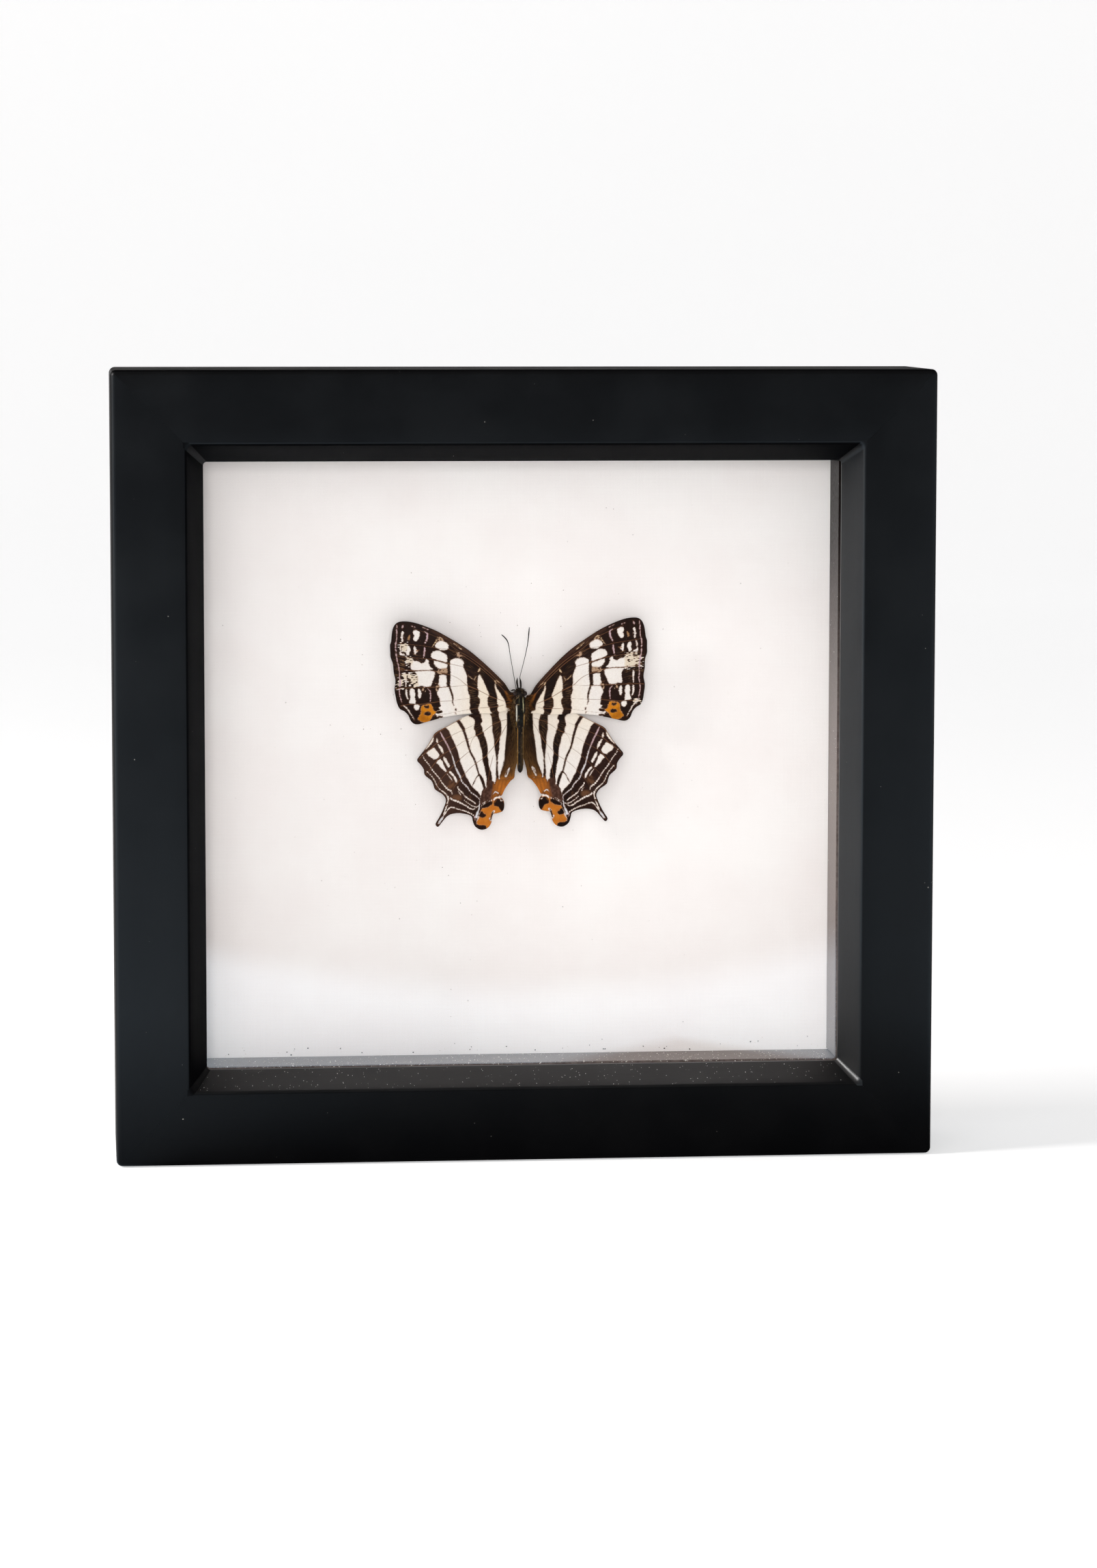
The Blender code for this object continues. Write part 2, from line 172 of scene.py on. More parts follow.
def segment_field(points, a, b, near=0.0, far=0.0):
    """Distance of each point to each segment, less a half width that runs from near to far."""
    run = b - a
    length = np.maximum((run * run).sum(1), 1e-12)
    best = np.full(len(points), 1e9)
    for i in range(len(a)):
        gap = points - a[i]
        t = np.clip((gap @ run[i]) / length[i], 0.0, 1.0)
        half = near if np.isscalar(near) else near[i] + (far[i] - near[i]) * t
        best = np.minimum(best, np.hypot(*(gap - t[:, None] * run[i]).T) - half)
    return best


def inside_of(points, ring):
    """Tell which points lie inside a closed ring."""
    x, y = points.T
    crossings = np.zeros(len(points), int)
    for (x0, y0), (x1, y1) in zip(ring, np.roll(ring, -1, axis=0)):
        if y0 == y1:
            continue
        spans = (y0 > y) != (y1 > y)
        crossings += spans & (x < x0 + (y - y0) * (x1 - x0) / (y1 - y0))
    return crossings % 2 == 1


REACH = 1.2


def nearby(points, ring):
    """Tell which points lie within reach of a ring's box."""
    low = ring[:, :2].min(0) - REACH
    high = ring[:, :2].max(0) + REACH
    return np.all((points > low) & (points < high), axis=1)


def blob(points, outline, steps=4):
    """Signed distance to a smooth closed outline, positive inside, in millimetres."""
    ring = smooth_curve(outline, steps)
    field = np.full(len(points), -REACH)
    close = nearby(points, ring)
    some = points[close]
    away = segment_field(some, ring, np.roll(ring, -1, axis=0))
    field[close] = np.where(inside_of(some, ring), away, -away)
    return field


def stroke(points, route, steps=4):
    """Signed distance to a line of (across, up, width) points, positive inside."""
    line = smooth_curve(route, steps, closed=False)
    field = np.full(len(points), -REACH)
    close = nearby(points, line)
    half = line[:, 2] / 2
    field[close] = -segment_field(points[close], line[:-1, :2], line[1:, :2],
                                  half[:-1], half[1:])
    return field


def value_noise(points, size, seed):
    """Smooth noise from -1 to 1 over a plane, its bumps about size across."""
    cell = np.floor(points / size).astype(int)
    t = points / size - cell
    t = t * t * (3 - 2 * t)

    def corner(i, j):
        key = (cell[:, 0] + i) * 374761393 + (cell[:, 1] + j) * 668265263 + seed * 982451653
        key = (key ^ (key >> 13)) * 1274126177 & 0xFFFFFFFF
        return ((key ^ (key >> 16)) & 0xFFFF) / 32767.5 - 1

    low = corner(0, 0) * (1 - t[:, 0]) + corner(1, 0) * t[:, 0]
    high = corner(0, 1) * (1 - t[:, 0]) + corner(1, 1) * t[:, 0]
    return low * (1 - t[:, 1]) + high * t[:, 1]


# ---------------------------------------------------------------- material helpers


class Shade:
    """One material under construction."""

    def __init__(self, name):
        self.material = bpy.data.materials.new(name)
        self.material.use_nodes = True
        self.tree = self.material.node_tree
        self.tree.nodes.clear()
        self.output = self.tree.nodes.new("ShaderNodeOutputMaterial")

    def node(self, kind, settings=None, **inputs):
        """Add a node. Inputs are named with underscores for spaces, or in0, in1 by place."""
        made = self.tree.nodes.new("ShaderNode" + kind)
        for key, value in (settings or {}).items():
            setattr(made, key, value)
        for key, value in inputs.items():
            index = key[2:]
            socket = made.inputs[int(index) if index.isdigit() and key[:2] == "in"
                                 else key.replace("_", " ")]
            if isinstance(value, bpy.types.NodeSocket):
                self.tree.links.new(value, socket)
            else:
                socket.default_value = value
        return made

    def math(self, operation, a, b=0.0, c=0.0):
        """Add a Math node and return its result."""
        return self.node("Math", {"operation": operation}, in0=a, in1=b, in2=c).outputs[0]

    def plus(self, a, b):
        """Add two values."""
        return self.math("ADD", a, b)

    def times(self, a, b):
        """Multiply two values."""
        return self.math("MULTIPLY", a, b)

    def mix(self, factor, a, b, blend="MIX"):
        """Mix two colours. Those of three numbers are sRGB values from 0 to 255."""
        a, b = (rgba(c) if isinstance(c, tuple) and len(c) == 3 else c for c in (a, b))
        return self.node("Mix", {"data_type": "RGBA", "blend_type": blend},
                         in0=factor, in6=a, in7=b).outputs[2]

    def grade(self, value, low, high, a, b):
        """Run from one colour to another as a value goes from low to high."""
        return self.mix(self.ramp(value, low, high), a, b)

    def ramp(self, value, low, high, to_low=0.0, to_high=1.0):
        """Spread a value smoothly from one range to another."""
        return self.node("MapRange", {"interpolation_type": "SMOOTHSTEP"}, Value=value,
                         From_Min=low, From_Max=high, To_Min=to_low,
                         To_Max=to_high).outputs[0]

    def coordinates(self, per_mm=(1.0, 1.0, 1.0)):
        """Return the object's own coordinates in millimetres, stretched by per_mm."""
        source = self.node("TexCoord").outputs["Object"]
        scale = tuple(s / MM for s in per_mm)
        return self.node("Mapping", Vector=source, Scale=scale).outputs[0]

    def noise(self, vector, scale, detail=2.0, roughness=0.5, distortion=0.0):
        """Return the grey value of a noise texture."""
        return self.node("TexNoise", Vector=vector, Scale=scale, Detail=detail,
                         Roughness=roughness, Distortion=distortion).outputs[0]

    def wave(self, vector, direction, scale, distortion, detail=2.0):
        """Return the grey value of a wave texture whose bands follow one direction."""
        return self.node("TexWave", {"bands_direction": direction}, Vector=vector, Scale=scale,
                         Distortion=distortion, Detail=detail).outputs["Fac"]

    def bump(self, height, strength, distance):
        """Return a bumped normal. The distance is in millimetres."""
        return self.node("Bump", Strength=strength, Distance=distance * MM,
                         Height=height).outputs[0]

    def attribute(self, name, part="Fac"):
        """Read a value or a colour stored on the mesh."""
        return self.node("Attribute", {"attribute_name": name}).outputs[part]

    def principled(self, **inputs):
        """Add the main shader and finish the material."""
        return self.finish(self.node("BsdfPrincipled", **inputs).outputs[0])

    def finish(self, surface):
        """Connect the surface and return the material."""
        self.tree.links.new(surface, self.output.inputs["Surface"])
        return self.material


def lacquer_material(name, grain):
    """Satin black lacquer over wood: faint grain along the rail, dust and hazy patches."""
    shade = Shade(name)
    along = shade.coordinates(grain)
    plain = shade.coordinates()
    pores = shade.noise(along, 1.6, 4.0, 0.6)
    haze = shade.noise(plain, 0.07, 3.0, 0.55)
    orange_peel = shade.noise(plain, 1.1, 1.0)
    specks = shade.node("TexVoronoi", Vector=plain, Scale=0.55)
    size = shade.noise(plain, 0.31, 1.0)
    limit = shade.ramp(size, 0.50, 0.80, 0.0, 0.085)
    dust = shade.math("LESS_THAN", specks.outputs["Distance"], limit)
    film = shade.ramp(haze, 0.35, 0.75, 0.0, 0.55)
    base = shade.mix(film, (4, 4, 5), (9, 9, 10))
    base = shade.mix(shade.ramp(pores, 0.62, 0.80, 0.0, 0.35), base, (3, 3, 4))
    base = shade.mix(shade.times(dust, 0.55), base, (150, 147, 142))
    rough = shade.ramp(haze, 0.3, 0.75, 0.40, 0.48)
    rough = shade.plus(rough, shade.ramp(pores, 0.45, 0.8, 0.0, 0.05))
    height = shade.plus(shade.times(pores, 0.4), shade.times(orange_peel, 0.6))
    return shade.principled(Base_Color=base, Roughness=rough,
                            Specular_IOR_Level=shade.attribute("gloss"),
                            Normal=shade.bump(height, 0.08, 0.04))


def glass_material():
    """Clear float glass: its front reflects for both faces by the angle, the rest passes."""
    shade = Shade("clear_glass")
    plain = shade.coordinates()
    smear = shade.noise(plain, 0.035, 3.0, 0.6)
    fresnel = shade.node("Fresnel", IOR=1.8).outputs[0]
    rough = shade.ramp(smear, 0.35, 0.7, 0.012, 0.05)
    clear = shade.node("BsdfTransparent", Color=rgba((255, 255, 255))).outputs[0]
    gloss = shade.node("BsdfGlossy", Color=(1.0, 1.0, 1.0, 1.0), Roughness=rough).outputs[0]
    front = shade.node("MixShader", in0=fresnel, in1=clear, in2=gloss).outputs[0]
    behind = shade.node("NewGeometry").outputs["Backfacing"]
    surface = shade.node("MixShader", in0=behind, in1=front, in2=clear).outputs[0]
    return shade.finish(surface)


def card_material():
    """Off-white mount board faced with fine linen: crossing threads of uneven weight."""
    shade = Shade("white_card")
    plain = shade.coordinates()
    cloud = shade.noise(plain, 0.045, 3.0, 0.55)
    slub_weft = shade.noise(shade.coordinates((0.10, 1.0, 3.6)), 1.0, 2.0, 0.6)
    slub_warp = shade.noise(shade.coordinates((3.6, 1.0, 0.10)), 1.0, 2.0, 0.6)
    weft = shade.wave(plain, "Z", 1.15, 0.5, 1.0)
    warp = shade.wave(plain, "X", 1.15, 0.5, 1.0)
    threads = shade.plus(shade.times(weft, slub_weft), shade.times(warp, slub_warp))
    base = shade.grade(cloud, 0.3, 0.7, (244, 239, 237), (248, 245, 243))
    base = shade.mix(shade.ramp(threads, 0.15, 0.75, 0.14, 0.0), base, (214, 206, 204))
    rough = shade.ramp(threads, 0.2, 0.8, 0.93, 0.82)
    return shade.principled(Base_Color=base, Roughness=rough,
                            Normal=shade.bump(threads, 0.2, 0.03))


# Heights in millimetres between which painted shade darkens the spacers towards the top, where
# the top rail shades them, and their gloss fades.
SPACER_PAINTED_SHADE = (66.0, 121.0)


def spacer_material():
    """Dark stained strip between glass and board, with settled dust, and painted shade that
    darkens it towards the top.
    """
    shade = Shade("dark_spacer")
    plain = shade.coordinates()
    grain = shade.noise(shade.coordinates((1.0, 3.0, 1.0)), 1.2, 4.0, 0.6)
    dust = shade.noise(plain, 1.9, 5.0, 0.75)
    base = shade.grade(grain, 0.3, 0.7, (94, 83, 79), (124, 112, 107))
    base = shade.mix(shade.ramp(dust, 0.58, 0.74, 0.0, 0.7), base, (186, 172, 164))
    up = shade.node("SeparateXYZ", Vector=plain).outputs[2]
    # Painted shade: the strip turns near black towards the top, standing in for the top rail's
    # shadow.
    base = shade.mix(shade.ramp(up, *SPACER_PAINTED_SHADE, 0.0, 0.98), base, (22, 15, 13))
    rough = shade.ramp(grain, 0.3, 0.7, 0.34, 0.5)
    gloss = shade.ramp(up, *SPACER_PAINTED_SHADE, 0.65, 0.08)
    return shade.principled(Base_Color=base, Roughness=rough, Specular_IOR_Level=gloss,
                            Normal=shade.bump(grain, 0.3, 0.08))


def hardboard_material():
    """Bare brown hardboard: felted fibres, darker flecks, a faint mesh imprint."""
    shade = Shade("fibreboard")
    plain = shade.coordinates()
    fibres = shade.noise(shade.coordinates((2.4, 1.0, 0.8)), 1.3, 6.0, 0.7, 0.6)
    fleck = shade.noise(plain, 2.2, 3.0, 0.6)
    mesh = shade.times(shade.wave(plain, "X", 0.16, 0.4), shade.wave(plain, "Z", 0.16, 0.4))
    base = shade.grade(fibres, 0.3, 0.7, (112, 78, 50), (158, 118, 80))
    base = shade.mix(shade.ramp(fleck, 0.62, 0.75, 0.0, 0.6), base, (74, 48, 30))
    height = shade.plus(fibres, shade.times(mesh, 0.5))
    rough = shade.ramp(fibres, 0.3, 0.7, 0.70, 0.88)
    return shade.principled(Base_Color=base, Roughness=rough,
                            Normal=shade.bump(height, 0.6, 0.15))


def steel_material():
    """Zinc-plated sheet steel: rolled streaks and cloudy spangle."""
    shade = Shade("plated_steel")
    streak = shade.noise(shade.coordinates((0.3, 1.0, 6.0)), 1.5, 4.0, 0.6)
    spangle = shade.noise(shade.coordinates(), 0.7, 3.0, 0.6)
    base = shade.grade(spangle, 0.3, 0.7, (176, 174, 168), (206, 205, 202))
    rough = shade.ramp(streak, 0.3, 0.7, 0.24, 0.42)
    return shade.principled(Base_Color=base, Metallic=1.0, Roughness=rough,
                            Normal=shade.bump(streak, 0.15, 0.03))


def glue_material():
    """Yellowish set hot glue, a little cloudy."""
    shade = Shade("glue")
    cloud = shade.noise(shade.coordinates(), 1.1, 3.0, 0.6)
    base = shade.grade(cloud, 0.3, 0.7, (206, 186, 136), (232, 218, 180))
    rough = shade.ramp(cloud, 0.3, 0.7, 0.22, 0.4)
    return shade.principled(Base_Color=base, Roughness=rough, Transmission_Weight=0.25,
                            Normal=shade.bump(cloud, 0.3, 0.1))


def wing_material():
    """Scaled wing: the stored fields give its markings, noise gives its rows of scales."""
    shade = Shade("wing_scales")
    plain = shade.coordinates()
    grain = shade.attribute("grain", "Vector")
    comb = shade.noise(shade.node("Mapping", Vector=grain, Scale=(1.4, 6.5, 1.0)).outputs[0],
                       1.0, 3.0, 0.65)
    ragged = shade.noise(plain, 5.5, 2.0, 0.6)
    shift = shade.plus(shade.math("MULTIPLY_ADD", comb, 0.56, -0.28),
                       shade.math("MULTIPLY_ADD", ragged, 0.26, -0.13))
    edge = shade.plus(shade.attribute("dark"), shift)
    dark = shade.ramp(edge, -0.03, 0.03)
    fringe = shade.ramp(edge, -0.17, 0.02, 0.0, 0.55)
    rim = shade.ramp(edge, 0.0, 0.24, 0.6, 0.0)
    vein = shade.ramp(shade.math("MULTIPLY_ADD", ragged, 0.05, shade.attribute("vein")),
                      -0.015, 0.045)
    scales = shade.node("TexVoronoi", Vector=shade.coordinates((9.0, 9.0, 5.5)), Scale=1.0)
    tone = shade.node("SeparateColor", Color=scales.outputs["Color"]).outputs[0]
    light = shade.mix(shade.times(tone, 0.30), shade.attribute("light", "Color"),
                      (220, 208, 198), "MULTIPLY")
    light = shade.mix(fringe, light, (150, 112, 82))
    light = shade.mix(shade.times(vein, 0.70), light, (128, 96, 70))
    deep = shade.mix(shade.times(tone, 0.22), shade.attribute("deep", "Color"), (56, 32, 20))
    deep = shade.mix(rim, deep, (72, 42, 26))
    lost = shade.noise(plain, 3.2, 3.0, 0.7)
    deep = shade.mix(shade.ramp(lost, 0.68, 0.76, 0.0, 0.5), deep, (150, 122, 96))
    hairs = shade.noise(shade.node("Mapping", Vector=grain, Scale=(0.5, 8.0, 1.0)).outputs[0],
                        1.0, 3.0, 0.7)
    scratch = shade.times(shade.ramp(hairs, 0.54, 0.66), shade.attribute("worn"))
    deep = shade.mix(scratch, deep, (166, 124, 84))
    deep = shade.mix(shade.times(vein, 0.55), deep, (132, 88, 58))
    base = shade.mix(dark, light, deep)
    height = shade.plus(shade.times(scales.outputs["Distance"], 0.6), comb)
    rough = shade.ramp(tone, 0.0, 1.0, 0.66, 0.85)
    return shade.principled(Base_Color=base, Roughness=rough, Specular_IOR_Level=0.10,
                            Normal=shade.bump(height, 0.35, 0.02))


def fur_material(name, roughness):
    """Dry insect skin or hair, coloured by the value stored on the mesh."""
    shade = Shade(name)
    plain = shade.coordinates()
    mottle = shade.noise(plain, 4.0, 3.0, 0.65)
    base = shade.mix(shade.ramp(mottle, 0.3, 0.75, 0.0, 0.35), shade.attribute("tint", "Color"),
                     (20, 14, 10))
    rough = shade.ramp(mottle, 0.3, 0.7, roughness - 0.1, roughness + 0.1)
    return shade.principled(Base_Color=base, Roughness=rough, Specular_IOR_Level=0.12,
                            Normal=shade.bump(mottle, 0.4, 0.04))


def eye_material():
    """Dark brown compound eye with fine facets."""
    shade = Shade("compound_eye")
    facets = shade.node("TexVoronoi", Vector=shade.coordinates(), Scale=14.0)
    distance = facets.outputs["Distance"]
    base = shade.mix(distance, (46, 26, 18), (22, 12, 10))
    rough = shade.ramp(distance, 0.0, 0.6, 0.25, 0.45)
    return shade.principled(Base_Color=base, Roughness=rough,
                            Normal=shade.bump(distance, 0.5, 0.02))


def speck_material(name, pale, deep):
    """Loose dust or scales: each grain a shade between two colours."""
    shade = Shade(name)
    tone = shade.noise(shade.coordinates(), 1.3, 2.0)
    base = shade.grade(tone, 0.35, 0.65, pale, deep)
    rough = shade.ramp(tone, 0.3, 0.7, 0.75, 0.95)
    return shade.principled(Base_Color=base, Roughness=rough)


# ---------------------------------------------------------------- frame

LIP_REACH = 16.9
LIP_DEPTH = 6.1
LIP_THICKNESS = 0.8
FACE_WIDTH = 13.64
RABBET_WALL = 11.5
FRAME_DEPTH = 30.0
HALF_OPENING = HALF_WIDTH - LIP_REACH
HALF_OPENING_UP = HALF_HEIGHT - LIP_REACH
SIDES = ("top", "bottom", "left", "right")
CORNER_RADIUS = 1.1
ROUND_STEPS = 5
SHARP_CREASE = 40.0
LONG_FLAT = 3.0
RAIL_STEP = 3.0
RAIL_END_GAP = 0.004
RAIL_END_LENGTH = 0.3
CORNER_STEPS = 4
# Each corner of the moulding: distance in from the outer edge, depth, rounding.
PROFILE = [
    (0.0, 0.0, 1.0), (FACE_WIDTH, 0.0, 0.85), (LIP_REACH, LIP_DEPTH, 0.22),
    (LIP_REACH, LIP_DEPTH + LIP_THICKNESS, 0.12),
    (RABBET_WALL, LIP_DEPTH + LIP_THICKNESS, 0.15), (RABBET_WALL, FRAME_DEPTH, 0.3),
    (0.0, FRAME_DEPTH, 0.5),
]
STRAIGHT_STEPS = 3
FILLET_STEPS = 9
FILLET_RADII = (0.95, 0.7)
# The hand-rubbed front sways by this much, in waves of this size, but not near the mitres.
SWAY = 0.035
SWAY_SIZE = 9.0
CALM_END = 6.0
CALM_FADE = 12.0
# How far the lacquer shines: on the face by height, on the outer sides, on each bevel, which
# fades at its ends, and in each corner's fillet, by its side and level.
FACE_GLOSS_HEIGHTS = (-73.0, -45.0, 20.0, 73.0)
FACE_GLOSS = (0.06, 0.27, 0.29, 0.25)
SIDE_GLOSS = {"top": 0.01, "left": 0.2, "right": 0.2, "bottom": 0.1}
BEVEL_GLOSS = {"top": 0.02, "left": 0.02, "right": 0.39, "bottom": 0.54}
BEVEL_GLOSS_FADE = 0.8
FILLET_GLOSS = {(1, 1): 0.3, (1, -1): 0.9, (-1, 1): 0.10, (-1, -1): 0.08}


def rounded_profile():
    """Round each corner of the moulding's profile with an arc, and split the flats."""
    corners = [np.array(c[:2]) for c in PROFILE]
    count = len(corners)
    points = []
    for i, (here, radius) in enumerate(zip(corners, (c[2] for c in PROFILE))):
        before = corners[i - 1] - here
        after = corners[(i + 1) % count] - here
        before /= np.linalg.norm(before)
        after /= np.linalg.norm(after)
        half = math.acos(float(np.clip(before @ after, -1, 1))) / 2
        reach = radius / math.tan(half)
        middle = here + (before + after) / np.linalg.norm(before + after) * (
            radius / math.sin(half))
        first = here + before * reach - middle
        last = here + after * reach - middle
        turn = math.copysign(1.0, first[0] * last[1] - first[1] * last[0])
        for angle in turn * (math.pi - 2 * half) * np.arange(ROUND_STEPS + 1) / ROUND_STEPS:
            c, s = math.cos(angle), math.sin(angle)
            points.append(middle + np.array([first[0] * c - first[1] * s,
                                             first[0] * s + first[1] * c]))
        gap = corners[(i + 1) % count] - here
        if np.linalg.norm(gap) > LONG_FLAT:
            start = points[-1]
            end = corners[(i + 1) % count] - after * PROFILE[(i + 1) % count][2] * 1.2
            points += [start + (end - start) * k / (STRAIGHT_STEPS + 1)
                       for k in range(1, STRAIGHT_STEPS + 1)]
    return np.array(points)


def rail_sections(profile, half_length):
    """Rows of (along, inward, depth), from one mitre to the other, round at the corner."""
    inward, depth = profile.T
    steps = int(2 * half_length / RAIL_STEP)
    mitre = half_length - RAIL_END_GAP
    body_end = mitre - np.maximum(inward, CORNER_RADIUS) - RAIL_END_LENGTH
    outer = np.maximum(CORNER_RADIUS - inward, 0.0)
    ends = []
    for k in range(CORNER_STEPS + 1):
        share = k / CORNER_STEPS
        angle = math.radians(45) * share
        arc_along = mitre - CORNER_RADIUS + outer * math.sin(angle)
        arc_inward = CORNER_RADIUS - outer * math.cos(angle)
        flat_along = mitre - inward - RAIL_END_LENGTH * (1 - share)
        is_outer = inward < CORNER_RADIUS
        ends.append((np.where(is_outer, arc_along, flat_along),
                     np.where(is_outer, arc_inward, inward)))
    rows = [(-along, inner) for along, inner in reversed(ends)]
    rows += [(body_end * (2 * k / steps - 1), inward) for k in range(1, steps)]
    rows += ends
    return [np.stack([along, inner, depth], axis=1) for along, inner in rows]


def rail_place(side, rows):
    """Stand the rows of one rail in its place in the frame."""
    along, inward, depth = rows.T
    if side == "top":
        return place_all(along, HALF_HEIGHT - inward, depth)
    if side == "bottom":
        return place_all(-along, inward - HALF_HEIGHT, depth)
    if side == "right":
        return place_all(HALF_WIDTH - inward, -along, depth)
    return place_all(inward - HALF_WIDTH, along, depth)


def make_rail(name, side, material):
    """Build one mitred length of moulding with soft arrises and a hand-rubbed surface."""
    half_length = HALF_WIDTH if side in ("top", "bottom") else HALF_HEIGHT
    rows = rail_sections(rounded_profile(), half_length)
    points = np.concatenate(rows)
    along, inward, depth = points.T
    own_stretch = (0.0, 40.0 * len(side))
    sway = value_noise(points[:, :2] + own_stretch, SWAY_SIZE, 3)
    away_from_mitre = np.clip((half_length - CALM_END - np.abs(along)) / CALM_FADE, 0, 1)
    on_front = (inward > 0.8) & (inward < LIP_REACH - 0.6) & (depth < LIP_DEPTH + 0.2)
    depth += np.where(on_front, (0.5 + 0.5 * sway) * away_from_mitre * SWAY, 0.0)
    vertices = rail_place(side, points)
    item = add_shell(name + "_lacquered", vertices, tube_faces(len(rows), len(rows[0])),
                     material, sharp_angle=SHARP_CREASE)
    on_bevel = (inward > FACE_WIDTH - 0.3) & (depth < LIP_DEPTH + 1.0)
    fade = 1 - BEVEL_GLOSS_FADE * (along / half_length) ** 4
    face = np.interp((vertices[:, 2] - MIDDLE_Z) / MM, FACE_GLOSS_HEIGHTS, FACE_GLOSS)
    face = np.where(inward < CORNER_RADIUS / 3, SIDE_GLOSS[side], face)
    store(item, "gloss", np.where(on_bevel, BEVEL_GLOSS[side] * fade, face))
    return add_piece(item, "black_lacquer", name)


def make_mitre_lacquer(material):
    """Build the lacquer that pooled as a small fillet in the bevel's four inner corners."""
    profile = rounded_profile()
    bevel = profile[(profile[:, 0] > FACE_WIDTH - 1.3) & (profile[:, 1] < LIP_DEPTH + 0.05)]
    arc = np.linspace(0, math.pi / 2, FILLET_STEPS)
    around = FILLET_STEPS + 1
    vertices = []
    faces = []
    for side, level in FILLET_GLOSS:
        faces += tube_faces(len(bevel), around, len(vertices))
        for inward, depth in bevel:
            radius = np.interp(depth, [0.0, LIP_DEPTH], FILLET_RADII)
            corner = np.array([HALF_WIDTH - inward, HALF_HEIGHT - inward])
            ring = [corner - radius + radius * np.array([math.cos(a), math.sin(a)])
                    for a in arc]
            ring.append(corner + 0.05)
            vertices += [place(side * x, level * z, depth + 0.008) for x, z in ring]
    item = add_shell("mitre_lacquer", vertices, faces, material, sharp_angle=35)
    store(item, "gloss", np.repeat(list(FILLET_GLOSS.values()), around * len(bevel)))
    add_piece(item, "black_lacquer")


def soften(item, width):
    """Give a CAD node softly broken edges, their width in millimetres."""
    bevel = item.modifiers.new("soft_edges", "BEVEL")
    bevel.width = width * MM
    bevel.segments = 2
    bevel.limit_method = "ANGLE"
    bevel.angle_limit = math.radians(SHARP_CREASE)
    bevel.harden_normals = True


def dress(node, material, edge_width=None):
    """Give a CAD node that stays its finish."""
    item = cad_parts[node]
    item.data.materials.clear()
    item.data.materials.append(material)
    if edge_width:
        soften(item, edge_width)


def make_frame():
    """Build the moulding and dress the glass, spacers, boards and back hardware."""
    flat_grain = lacquer_material("black_lacquer_flat", (0.12, 1.0, 1.6))
    tall_grain = lacquer_material("black_lacquer_tall", (1.6, 1.0, 0.12))
    make_rail("rail_top", "top", flat_grain)
    make_rail("rail_bottom", "bottom", flat_grain)
    make_rail("stile_left", "left", tall_grain)
    make_rail("stile_right", "right", tall_grain)
    make_mitre_lacquer(flat_grain)
    dress("glass_pane", glass_material())
    dress("mount_board", card_material(), 0.15)
    dress("backing_board", hardboard_material(), 0.3)
    spacer = spacer_material()
    steel = steel_material()
    for side in SIDES:
        dress(f"spacer_{side}", spacer, 0.25)
        for number in (1, 2):
            dress(f"tab_{side}_{number}", steel, 0.12)
    for node in ("sawtooth_hanger", "hanger_nail_left", "hanger_nail_right"):
        dress(node, steel, 0.1)


# ---------------------------------------------------------------- wing outlines and markings

FOREWING_EDGE = [
    (1.2, 11.9), (2.0, 12.35), (3.1, 14.15), (5.0, 16.3), (7.0, 18.38), (9.0, 20.25),
    (11.0, 21.8), (13.0, 23.15), (15.0, 24.4), (17.0, 25.4), (19.0, 26.2), (20.6, 26.58),
    (22.0, 26.6), (22.8, 26.2), (23.3, 25.4), (23.55, 24.4), (23.75, 23.0), (23.98, 22.3),
    (24.0, 21.0), (24.0, 20.0), (23.65, 18.8), (23.58, 17.2), (23.35, 15.6), (23.6, 14.0),
    (23.45, 12.5), (23.25, 11.3), (22.8, 10.3), (22.0, 9.8), (21.3, 9.0), (20.9, 8.0),
    (20.35, 7.4), (19.5, 7.22), (18.0, 7.55), (16.0, 8.0), (14.0, 8.35), (10.0, 8.65),
    (6.0, 8.45), (3.4, 8.7), (1.2, 9.2),
]
HINDWING_EDGE = [
    (1.0, 9.6), (4.0, 9.9), (7.0, 9.6), (10.0, 8.9), (12.0, 8.0), (14.2, 6.9), (15.9, 6.0),
    (16.6, 5.1), (17.65, 3.5), (18.8, 2.1), (19.5, 1.25), (19.55, 0.75), (19.0, 0.1),
    (18.45, -0.8), (18.25, -1.9), (17.1, -3.0), (16.75, -3.8), (16.45, -4.7), (15.2, -5.6),
    (14.6, -6.4), (14.55, -7.1), (14.9, -8.0), (15.35, -9.0), (15.9, -10.0), (16.6, -11.1),
    (16.5, -11.6), (16.1, -11.7), (15.3, -10.8), (14.4, -9.85), (13.4, -9.42),
    (12.0, -9.36), (10.5, -9.7), (9.8, -10.15), (9.65, -10.9), (9.3, -11.9), (8.6, -12.5),
    (7.9, -12.68), (7.1, -12.5), (6.5, -12.0), (6.1, -11.2), (6.0, -10.4), (5.7, -9.8),
    (5.0, -9.7), (4.1, -9.45), (3.7, -8.9), (3.6, -7.9), (3.8, -7.15), (4.3, -6.6),
    (3.95, -6.3), (3.3, -5.1), (2.3, -3.8), (1.55, -3.15), (1.35, -2.0), (1.05, -0.8),
    (0.7, 0.6), (0.45, 2.2), (0.4, 4.2), (0.5, 6.5),
]
# The left wings sit a little lower than the right ones: turn in degrees, pivot, drop.
FOREWING_SET = (-3.0, (12.3, 16.5), 0.0)
HINDWING_SET = (-2.2, (0.0, 10.5), 0.15)

# Scale colours.
WHITE = (229, 224, 219)
CREAM = (226, 213, 192)
DARK_BROWN = (24, 10, 5)
BLACK_BROWN = (11, 4, 2)
CHOCOLATE = (62, 41, 33)
TAN = (158, 120, 80)
BUFF = (205, 182, 146)
ORANGE = (202, 128, 14)
OCHRE = (178, 103, 32)
LILAC = (188, 165, 176)
FROST = (205, 208, 214)

